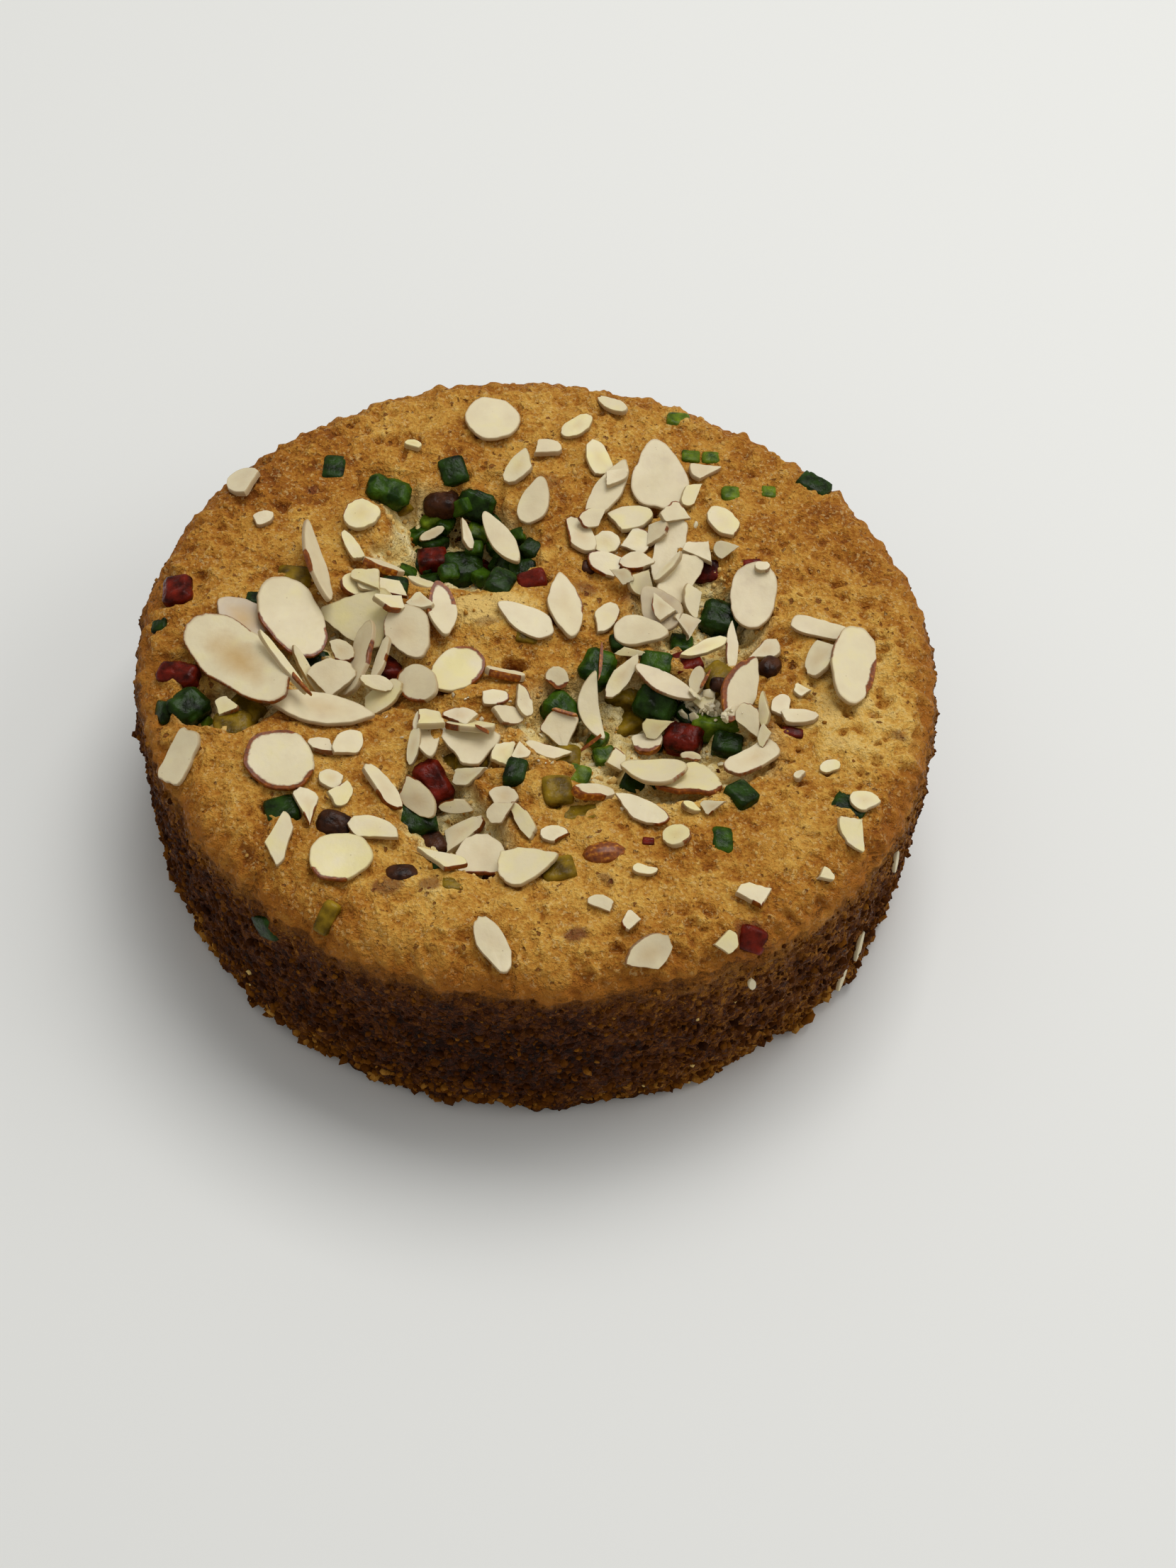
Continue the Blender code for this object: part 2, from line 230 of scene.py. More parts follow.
def tree_of(points, triangles):
    """A mesh as a tree that finds where a ray meets it."""
    return BVHTree.FromPolygons(points.tolist(), triangles.tolist())


def reaches(tree, starts, directions):
    """How far it is from each start, in its direction, to the surface."""
    found = [tree.ray_cast(Vector(start), Vector(way))[3] for start, way in zip(starts, directions)]
    return np.array(found, float)


def outward(angles):
    """Level ways out from the middle, at the given angles."""
    return np.stack([np.cos(angles), np.sin(angles), np.zeros(np.shape(angles))], axis=-1)


def rough(points, size, offset=0.0):
    """Smooth noise, from -1 to 1, in lumps of the given size."""
    return np.array([noise.noise(Vector(point)) for point in points / size + offset])


def layered(points, layers):
    """The sum of several layers of roughness."""
    return sum(height * rough(points, size, offset) for height, size, offset in layers)


def blurred(values, weights, spread):
    """Smooths a grid of values, with the spread in grid steps, and bridges the places of no weight."""

    def smooth(grid):
        mirrored = np.block([[grid, grid[:, ::-1]], [grid[::-1], grid[::-1, ::-1]]])
        rows, columns = (np.fft.fftfreq(count) for count in mirrored.shape)
        fade = np.exp(-2 * (np.pi * spread) ** 2 * (rows[:, None] ** 2 + columns**2))
        return np.fft.ifft2(np.fft.fft2(mirrored) * fade).real[: grid.shape[0], : grid.shape[1]]

    return smooth(values * weights) / smooth(weights)


def ramp(values, low, high):
    """Goes smoothly from 0 at low to 1 at high."""
    share = np.clip((values - low) / (high - low), 0.0, 1.0)
    return share * share * (3 - 2 * share)


def off_fruit(points):
    """1 for each point clear of the large pieces of fruit, and 0 for one in their pockets."""
    clear = np.ones(len(points))
    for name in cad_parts:
        if name.startswith("candied"):
            low, high = (np.array(corner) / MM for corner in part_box(name))
            inside = (points > low - FRUIT_MARGIN) & (points < high + FRUIT_MARGIN)
            clear[inside[:, :2].all(axis=1) & (points[:, 2] > low[2] - FRUIT_MARGIN)] = 0.0
    return clear


def within(points, x, y, half_length, half_width, turn):
    """How far out each point lies in an oval seen from above: 0 in its middle, 1 on its edge."""
    cos_turn, sin_turn = math.cos(math.radians(turn)), math.sin(math.radians(turn))
    aside_x, aside_y = points[:, 0] - x, points[:, 1] - y
    along = aside_x * cos_turn + aside_y * sin_turn
    across = aside_y * cos_turn - aside_x * sin_turn
    return np.hypot(along / half_length, across / half_width)


def covered(points, zone, low, high, raggedness=0.0):
    """How much of each point an oval covers: 1 in its middle, and falling to 0 between low and high."""
    return 1.0 - ramp(within(points, *zone[:5]) + raggedness, low, high)


def band(first, second):
    """The triangles between two rows of points that each close into a ring."""
    first_next, second_next = np.roll(first, -1), np.roll(second, -1)
    lower = np.column_stack([first, second, second_next])
    return np.vstack([lower, np.column_stack([first, second_next, first_next])])


def top_rays(rings):
    """Rays up through the top, from points on square rings drawn round to circles."""
    steps = np.arange(-rings, rings + 1)
    across, along = np.meshgrid(steps, steps)
    sideways = np.abs(across) > np.abs(along)
    ring = np.where(sideways, across, along)
    turn = np.where(sideways, along, across) / np.where(ring == 0, 1, ring) * np.pi / 4
    angles = np.where(sideways, turn, np.pi / 2 - turn)
    places = outward(angles) * (ring[..., None] * RING_WIDTH)
    return places + (0.0, 0.0, TOP_RAY_LEVEL), np.broadcast_to((0.0, 0.0, 1.0), places.shape), ring


def side_rays(around):
    """Rays out through the shoulder and the side, in rows from the top edge down, at the given angles."""
    out = outward(around)
    turns = np.arange(1 - SPARE_ROWS, SHOULDER_ROWS + 1) / SHOULDER_ROWS * np.pi / 2
    levels = np.linspace(SHOULDER_LEVEL, 0.0, SIDE_ROWS + 1)[1:]
    rows = [(SHOULDER_LEVEL, turn) for turn in turns] + [(level, np.pi / 2) for level in levels]
    starts = [out * TOP_RINGS * RING_WIDTH + (0.0, 0.0, level) for level, _ in rows]
    ways = [out * math.sin(turn) + (0.0, 0.0, math.cos(turn)) for _, turn in rows]
    return np.array(starts), np.array(ways)


def read_surface(tree, starts, ways):
    """The plain cake along a grid of rays, smoothed, with the pockets of the large fruit filled."""
    flat_starts, flat_ways = starts.reshape(-1, 3), ways.reshape(-1, 3)
    found = reaches(tree, flat_starts, flat_ways)
    weights = off_fruit(flat_starts + flat_ways * found[:, None])
    found, weights = found.reshape(starts.shape[:2]), weights.reshape(starts.shape[:2])
    in_pocket = blurred(1.0 - weights, np.ones(weights.shape), 1.0)
    return blurred(found, weights, FACET_SPREAD) - POCKET_DIP * in_pocket


def cake_surface():
    """The cake's points before they are roughened, as starts, ways and reach, and the triangles."""
    tree = tree_of(*mesh_arrays(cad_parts["cake"]))
    top_starts, top_ways, ring = top_rays(TOP_RINGS + SPARE_ROWS)
    top_reach = read_surface(tree, top_starts, top_ways)
    kept = slice(SPARE_ROWS, -SPARE_ROWS)
    top_starts, top_ways, top_reach, ring = (
        grid[kept, kept] for grid in (top_starts, top_ways, top_reach, ring)
    )
    index = np.arange(ring.size).reshape(ring.shape)
    rim = index[np.abs(ring) == TOP_RINGS]
    around = np.arctan2(*top_starts.reshape(-1, 3)[rim, 1::-1].T)
    rim, around = rim[np.argsort(around)], np.sort(around)
    left, right, left_up, right_up = index[:-1, :-1], index[:-1, 1:], index[1:, :-1], index[1:, 1:]
    halves = ((left, right, right_up), (left, right_up, left_up))
    triangles = [np.stack(corners, axis=-1).reshape(-1, 3) for corners in halves]
    wrapped = np.concatenate([around[-SPARE_ROWS:], around, around[:SPARE_ROWS]])
    side_starts, side_ways = side_rays(wrapped)
    side_reach = read_surface(tree, side_starts, side_ways)
    side_starts, side_ways, side_reach = (
        grid[SPARE_ROWS:, SPARE_ROWS:-SPARE_ROWS] for grid in (side_starts, side_ways, side_reach)
    )
    last, count = rim, ring.size
    for _ in side_reach:
        row = np.arange(count, count + len(rim))
        triangles.append(band(last, row))
        last, count = row, count + len(rim)
    triangles.append(np.column_stack([last, np.full(len(rim), count), np.roll(last, -1)]))
    starts = np.vstack([top_starts.reshape(-1, 3), side_starts.reshape(-1, 3)])
    ways = np.vstack([top_ways.reshape(-1, 3), side_ways.reshape(-1, 3)])
    return starts, ways, np.concatenate([top_reach.ravel(), side_reach.ravel()]), np.vstack(triangles)


def burst_bubbles(points, blisters):
    """How deep each point lies in the open pits that burst bubbles left, in clusters, as the crust set."""
    out = CRUST_RADIUS * np.sqrt(bubble_chance.random(BURST_BUBBLES))
    middles = outward(bubble_chance.uniform(0, 2 * np.pi, BURST_BUBBLES)) * out[:, None]
    clusters = np.clip(0.55 + 1.6 * rough(middles, BUBBLE_CLUSTER, 41.0), 0.0, 1.5)
    clusters = np.maximum(clusters, 1.1 * covered(middles, COARSE_ZONE, 0.8, 1.2))
    sizes = bubble_chance.uniform(*BUBBLE_SIZES, BURST_BUBBLES) * clusters
    depth = np.zeros(len(points))
    for middle, size in zip(middles, sizes):
        near = np.nonzero(np.abs(points[:, :2] - middle[:2]).max(axis=1) < BUBBLE_REACH)[0]
        away = np.hypot(*(points[near, :2] - middle[:2]).T) + 1.4 * blisters[near]
        depth[near] = np.maximum(depth[near], size * (1.0 - ramp(away, 0.2 * size, max(size, 0.1))))
    return depth


starts, ways, reach, cake_triangles = cake_surface()
smooth_points = starts + ways * reach[:, None]
radius = np.hypot(smooth_points[:, 0], smooth_points[:, 1])
level = smooth_points[:, 2]
on_top = ways[:, 2] > 0.9

# Crests and holes, and the tears: open crumb where the top has sunk, and a lip of crust round it
ragged = layered(smooth_points, RAGGED_EDGE)
crests = sum(row[5] * covered(smooth_points, row, 0.5, 1.3, 0.25 * ragged) for row in CRESTS) * on_top
zone = np.max([covered(smooth_points, row, 0.75, 1.15) for row in TORN_ZONES], axis=0)
sunk = RIM_LEVEL - level
crumb = on_top * zone * ramp(sunk + ragged - 1.6 * crests, TEAR_DEPTH - TEAR_FADE, TEAR_DEPTH + TEAR_FADE)
from_edge = np.min([np.abs(within(smooth_points, *row) - 1.0) for row in TORN_ZONES], axis=0)
lip = on_top * (1.0 - ramp(from_edge, 0.0, LIP_SPREAD)) * (1.0 - crumb)

# The relief of the crust, of the torn crumb, and of the coat on the side, which stands out more at the foot
lumps = layered(smooth_points, SWELLS) + crests
lumps += LIP_HEIGHT * lip * (1.0 + rough(smooth_points, 4.0, 21.0))
blisters = layered(smooth_points, BLISTERS)
pits = np.clip(rough(smooth_points, PIT_WIDTH, 19.0) - PIT_RARITY, 0.0, None)
pits *= 1.0 + 1.2 * covered(smooth_points, COARSE_ZONE, 0.8, 1.2)
burst = burst_bubbles(smooth_points, blisters) * (on_top * (1.0 - crumb))
grain = blisters * (1.0 + 1.7 * ramp(radius, SHOULDER_START, SHOULDER_END)) - 1.6 * pits - 0.75 * burst
torn_grain = layered(smooth_points, TORN_CRUMB)
side_grain = layered(smooth_points, SIDE_COAT) * (1.0 + 0.8 * ramp(-level, -8.0, -2.0))

# How far down the side each point is, and how pale: the side is darker in its middle, with painted shade at
# the front and painted light on the right
down = np.where(radius > SHOULDER_START, np.clip(RIM_LEVEL - level, 0.0, None), 0.0)
browned = ramp(down, *BROWNED_DOWN)
azimuth = np.degrees(np.arctan2(smooth_points[:, 1], smooth_points[:, 0]))
painted_front_shade = np.exp(-(((azimuth - SHADED_FRONT_WAY) / SHADED_FRONT_SPREAD) ** 2))
middle_band = ramp(level, 4.0, 13.0) * (1.0 - ramp(level, 24.0, 38.0))
painted_side_light = 1.0 - ramp(np.abs(azimuth - LIT_SIDE_WAY), *LIT_SIDE_SPREAD)
# Painted light and shade of the side: paler on the right, darker at the front
side_paler = 0.19 - 0.2 * middle_band + 0.2 * painted_side_light - 0.13 * painted_front_shade
top_paler = sum(row[5] * covered(smooth_points, row, 0.4, 1.3) for row in TONED_ZONES)
# The rim is browner, and the holes among the crests are darker as painted shade
top_paler -= 0.1 * ramp(radius, 63.0, 70.0) + 0.12 * np.clip(-crests, 0.0, 3.0)
paler = np.where(on_top, top_paler, top_paler * (1.0 - browned) + side_paler * browned)
stain = np.max([row[5] * covered(smooth_points, row, 0.7, 1.3, 0.4 * ragged) for row in RED_STAINS], axis=0)
# Painted shade: the brown bake is drawn further up the front of the side, so that it is darker there
down += 2.0 * painted_front_shade * browned
# Painted shade and light: the crust is darker in its pits, burst bubbles and the hollows of the torn crumb,
# and lighter on its blisters
relief_shading = 0.5 + 0.6 * blisters - 1.1 * pits - 0.35 * burst + crumb * 0.35 * torn_grain

detail = lumps + grain * (1.0 - browned) + side_grain * browned
detail += crumb * (torn_grain - CRUST_THICKNESS)
detail *= np.where(starts[:, 2] == 0.0, FOOT_RELIEF, 1.0)
foot_middle = (0.0, 0.0, 0.0)
cake_points = np.vstack([smooth_points + ways * detail[:, None], foot_middle])


def make_piece(name, points, triangles, material, slot, crease=180, **marks):
    """A mesh object from points in millimetres, with one number for each point in each of its marks. Edges
    that turn by more than crease degrees look sharp."""
    mesh = bpy.data.meshes.new(name)
    mesh.from_pydata((points * MM).tolist(), [], triangles.tolist())
    for label, values in marks.items():
        mesh.attributes.new(label, "FLOAT", "POINT").data.foreach_set("value", np.float32(values))
    mesh.shade_smooth()
    mesh.set_sharp_from_angle(angle=math.radians(crease))
    mesh.materials.append(material)
    piece = bpy.data.objects.new(name, mesh)
    bpy.context.scene.collection.objects.link(piece)
    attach(piece, "root")
    return piece


def linear(code):
    """An sRGB hex colour as the linear colour that the shader takes."""
    parts = [int(code[at : at + 2], 16) / 255 for at in (1, 3, 5)]
    return (*(part / 12.92 if part < 0.04045 else ((part + 0.055) / 1.055) ** 2.4 for part in parts), 1.0)


def feed(node, inputs):
    """Sets a node's inputs: each is a fixed value, a hex colour, or the socket that feeds it."""
    for name, value in inputs.items():
        if isinstance(value, bpy.types.NodeSocket):
            node.id_data.links.new(value, node.inputs[name])
        else:
            node.inputs[name].default_value = linear(value) if isinstance(value, str) else value


def add(tree, kind, inputs, stops=(), out=0, **settings):
    """Adds a node and gives one of its outputs. Stops are a ramp's colours. Some inputs go by number: 0 to 2
    are Math's values, 1 to 4 Map Range's limits, 0 is the share of a Mix, and 2, 3 or 6, 7 what it mixes."""
    made = tree.nodes.new("ShaderNode" + kind)
    for name, value in settings.items():
        setattr(made, name, value)
    feed(made, inputs)
    for number, (at, code) in enumerate(stops):
        elements = made.color_ramp.elements
        stop = elements[number] if number < 2 else elements.new(at)
        stop.position, stop.color = at, linear(code)
    return made.outputs[out]


def start_material(name):
    """A material, its node tree, its shader, and its object coordinates in millimetres."""
    material = bpy.data.materials.new(name)
    material.use_nodes = True
    tree = material.node_tree
    place = add(tree, "TexCoord", {}, out="Object")
    in_mm = add(tree, "VectorMath", {0: place, "Scale": 1 / MM}, operation="SCALE")
    return material, tree, tree.nodes["Principled BSDF"], in_mm


# Golden crust: baked butter batter, dry and matt, mottled in patches of 14 and 4.5 mm. Its open pores are
# cells of 1.3 mm, painted darker as the shade in them. The sugar in it, 0.5 mm, is pale, and its glints are a
# painted highlight. The dark grains of its side are 0.8 mm. Below the rim the edge of the bake wanders in
# streaks about 8 mm long and 2 mm high.
crust, tree, shader, place = start_material("baked batter crust")
crumb_mark, down_mark, relief_shading_mark, paler_mark, stain_mark = (
    add(tree, "Attribute", {}, out="Fac", attribute_name=mark)
    for mark in ("crumb", "down", "relief_shading", "paler", "stain")
)
patches, mottle, fine = (
    add(tree, "TexNoise", {"Vector": place, "Scale": 1 / size, "Detail": detail, "Roughness": roughness})
    for size, detail, roughness in ((14, 2.0, 0.5), (4.5, 4.0, 0.6), (0.7, 3.0, 0.6))
)
shift = add(tree, "TexNoise", {"Vector": place, "Scale": 1 / 0.9, "Detail": 2.0}, out="Color")
torn_place = add(tree, "VectorMath", {0: shift, 1: (1.6, 1.6, 1.6), 2: place}, operation="MULTIPLY_ADD")
pores, sugar, grains = (
    add(tree, "TexVoronoi", {"Vector": torn_place, "Scale": 1 / size}) for size in (1.3, 0.5, 0.8)
)
pore_luck, glint, grain_luck = (
    add(tree, "SeparateColor", {"Color": cells.node.outputs["Color"]}, out=channel)
    for cells, channel in ((pores, "Red"), (sugar, "Blue"), (grains, "Green"))
)
flattened = add(tree, "VectorMath", {0: place, 1: (0.12, 0.12, 0.6)}, operation="MULTIPLY")
streaks = add(tree, "TexNoise", {"Vector": flattened, "Scale": 1.0, "Detail": 4.0})

# The tones of the crust, the open crumb and the coat of grains, each turned to colours by a ramp of its own.
tone, grain_tone, edge = paler_mark, mottle, down_mark
# The relief shading mark darkens the crust and the crumb in their hollows and lightens their bumps: painted
# shade and light.
for part, weight in ((patches, 0.6), (mottle, 0.8), (fine, 0.85), (relief_shading_mark, 0.4)):
    tone = add(tree, "Math", {0: part, 1: weight, 2: tone}, operation="MULTIPLY_ADD")
crumb_tone = add(tree, "Math", {0: fine, 1: 0.8, 2: relief_shading_mark}, operation="MULTIPLY_ADD")
for part, weight in ((grain_luck, 0.45), (paler_mark, 1.0)):
    grain_tone = add(tree, "Math", {0: part, 1: weight, 2: grain_tone}, operation="MULTIPLY_ADD")
golds = ((0.0, "#854A14"), (0.25, "#A86A20"), (0.5, "#C48C38"), (0.75, "#DAAA50"), (1.0, "#E6C070"))
creams = ((0.0, "#A07832"), (0.3, "#D6B064"), (0.6, "#E2C67E"), (1.0, "#F0DDA6"))
browns = ((0.0, "#220B01"), (0.4, "#4A2105"), (0.75, "#73400A"), (1.0, "#A0661C"))
golden, pale, brown = (
    add(tree, "ValToRGB", {"Fac": add(tree, "MapRange", {"Value": value, 1: low, 2: high})}, stops)
    for value, low, high, stops in (
        (tone, 0.95, 1.77, golds),
        (crumb_tone, 0.28, 1.2, creams),
        (grain_tone, 0.4, 1.2, browns),
    )
)

# Pores open where the mottle is pale. The toasted edge and the browned side start at a wandering line.
pore_luck = add(tree, "Math", {0: mottle, 1: 2.0, 2: pore_luck}, operation="MULTIPLY_ADD")
pore_size = add(tree, "MapRange", {"Value": pore_luck, 1: 1.6, 2: 2.1, 3: 0.0, 4: 0.4})
pore_gap = add(tree, "Math", {0: pores, 1: pore_size}, operation="SUBTRACT")
pore = add(tree, "MapRange", {"Value": pore_gap, 1: 0.02, 2: -0.12})
painted_glint = add(tree, "MapRange", {"Value": glint, 1: 0.86, 2: 0.95, 4: 0.36})
for part, weight in ((mottle, 4.0), (streaks, 9.0), (fine, 4.0)):
    edge = add(tree, "Math", {0: part, 1: weight, 2: edge}, operation="MULTIPLY_ADD")
toast, bake = (
    add(tree, "MapRange", {"Value": edge, 1: low, 2: high, 4: most}, interpolation_type="SMOOTHSTEP")
    for low, high, most in ((9.0, 14.0, 0.85), (12.8, 18.0, 1.0))
)

# Each colour covers the ones before it by its share. The pores' dark is painted shade, and the sugar's pale a
# painted highlight.
colour = golden
for share, over in (
    (pore, "#8A5420"),
    (painted_glint, "#EACB88"),
    (stain_mark, "#642C1E"),
    (crumb_mark, pale),
    (toast, "#9E5E1A"),
    (bake, brown),
):
    colour = add(tree, "Mix", {0: share, 6: colour, 7: over}, out=2, data_type="RGBA")
fine_height = add(tree, "Math", {0: mottle, 1: 2.0, 2: fine}, operation="MULTIPLY_ADD")
pore_height = add(tree, "Math", {0: pore, 1: -0.5, 2: fine_height}, operation="MULTIPLY_ADD")
grain_height = add(tree, "Math", {0: grains, 1: -1.0}, operation="MULTIPLY")
height = add(tree, "Mix", {0: bake, 2: pore_height, 3: grain_height}, data_type="FLOAT")
crust_sockets = {
    "Base Color": colour,
    "Normal": add(tree, "Bump", {"Height": height, "Distance": 0.9 * MM, "Strength": 1.0}),
    "Roughness": add(tree, "MapRange", {"Value": glint, 1: 0.8, 2: 0.9, 3: 0.85, 4: 0.4}),
    "Specular IOR Level": 0.15,
}
feed(shader, crust_sockets)

marks = {"crumb": crumb, "down": down, "relief_shading": relief_shading, "paler": paler, "stain": stain}
marks = {label: np.append(values, 0.0) for label, values in marks.items()}
cake = make_piece("baked_cake", cake_points, cake_triangles, crust, "baked_crust", **marks)
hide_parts("cake")
surfaces = [tree_of(cake_points, cake_triangles)]

# ------------------------ The large candied fruit
# Papaya cooked in syrup and dyed green or red, cut into rough dice. Each sits in the batter up to its
# shoulders, sticky and half clear, its edges rounded and its faces drawn in as it dried.

import bmesh

DIE_CUTS = 13
DIE_WRINKLES = 0.7
LEAF_GREEN = ("candied_green_02", "candied_green_07", "candied_green_08")

# Each kind of fruit: its material, its colour in dark and in light parts, how cloudy it is, and its slot
FRUIT_KINDS = {
    "green": ("dark green candied papaya", "#0E1602", "#2A4410", 0.1, "candied_green"),
    "leaf": ("leaf green candied papaya", "#162C04", "#405E10", 0.15, "candied_green"),
    "bright": ("bright green candied papaya", "#2E4408", "#768A1C", 0.2, "candied_green"),
    "amber": ("amber candied papaya", "#4E3A06", "#96781A", 0.15, "candied_amber"),
    "red": ("red candied papaya", "#300A04", "#7A2010", 0.15, "candied_red"),
    "raisin": ("dried raisin skin", "#1A0C06", "#4E2C18", 0.05, "raisin"),
}


def ball(cuts):
    """Directions spread evenly over a sphere, and the triangles that join them."""
    bm = bmesh.new()
    bmesh.ops.create_cube(bm, size=2.0)
    bmesh.ops.subdivide_edges(bm, edges=bm.edges, cuts=cuts, use_grid_fill=True)
    bmesh.ops.triangulate(bm, faces=bm.faces)
    points = np.array([np.tan(np.array(vert.co) * np.pi / 4) for vert in bm.verts])
    triangles = np.array([[vert.index for vert in face.verts] for face in bm.faces])
    bm.free()
    return points / np.linalg.norm(points, axis=1)[:, None], triangles


def wrinkled(points, ways, seed, amount):
    """Roughens a die: soft swellings, and creases where its skin of syrup shrank."""
    swell = layered(points, ((0.45, 3.4, seed), (0.15, 1.3, seed + 20.0)))
    crease = np.clip(1.0 - np.abs(rough(points, 3.0, seed + 40.0)) / 0.12, 0.0, 1.0)
    return points + ways * (amount * (swell - 0.3 * crease))[:, None]


# Candied papaya: glazed with syrup and cloudy inside, so that light gets a little way into it. Dried raisin
# skin is the same but all but opaque.
def candied_material(name, dark, light, cloudy):
    material, tree, shader, place = start_material(name)
    cloud, skin = (
        add(tree, "TexNoise", {"Vector": place, "Scale": 1 / size, "Detail": 3.0}) for size in (2.5, 0.9)
    )
    sockets = {
        "Base Color": add(tree, "ValToRGB", {"Fac": cloud}, ((0.35, dark), (0.72, light))),
        "Normal": add(tree, "Bump", {"Height": skin, "Distance": 0.22 * MM, "Strength": 0.8}),
        "Roughness": add(tree, "MapRange", {"Value": skin, 1: 0.35, 2: 0.65, 3: 0.15, 4: 0.4}),
        "IOR": 1.45,
        "Specular IOR Level": 0.12,
        "Subsurface Weight": cloudy,
        "Subsurface Radius": (1.0, 1.0, 1.0),
        "Subsurface Scale": 0.6 * MM,
    }
    feed(shader, sockets)
    return material


fruit_skin = {kind: candied_material(*looks) for kind, (*looks, _) in FRUIT_KINDS.items()}
fruit_slot = {kind: slot for kind, (*_, slot) in FRUIT_KINDS.items()}
ball_ways, ball_triangles = ball(DIE_CUTS)
for number, name in enumerate(sorted(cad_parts)):
    if not name.startswith("candied"):
        continue
    middle = np.mean([np.array(corner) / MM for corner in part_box(name)], axis=0)
    own_tree = tree_of(*mesh_arrays(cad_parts[name]))
    reach = reaches(own_tree, np.tile(middle, (len(ball_ways), 1)), ball_ways)
    points = wrinkled(middle + ball_ways * reach[:, None], ball_ways, number * 3.0, DIE_WRINKLES)
    kind = "leaf" if name in LEAF_GREEN else name.split("_")[1]
    title = name.replace("candied", "glazed_fruit")
    fruit = make_piece(title, points, ball_triangles, fruit_skin[kind], fruit_slot[kind])
    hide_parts(name)
    surfaces.append(tree_of(points, ball_triangles))

# ------------------------ The small candied fruit
# The same candied papaya, with a few raisins: the small dice that fill the hollows and show through the
# crust. Each colour is one mesh. A row is x, y, length, width, turn, and how far it stands out.

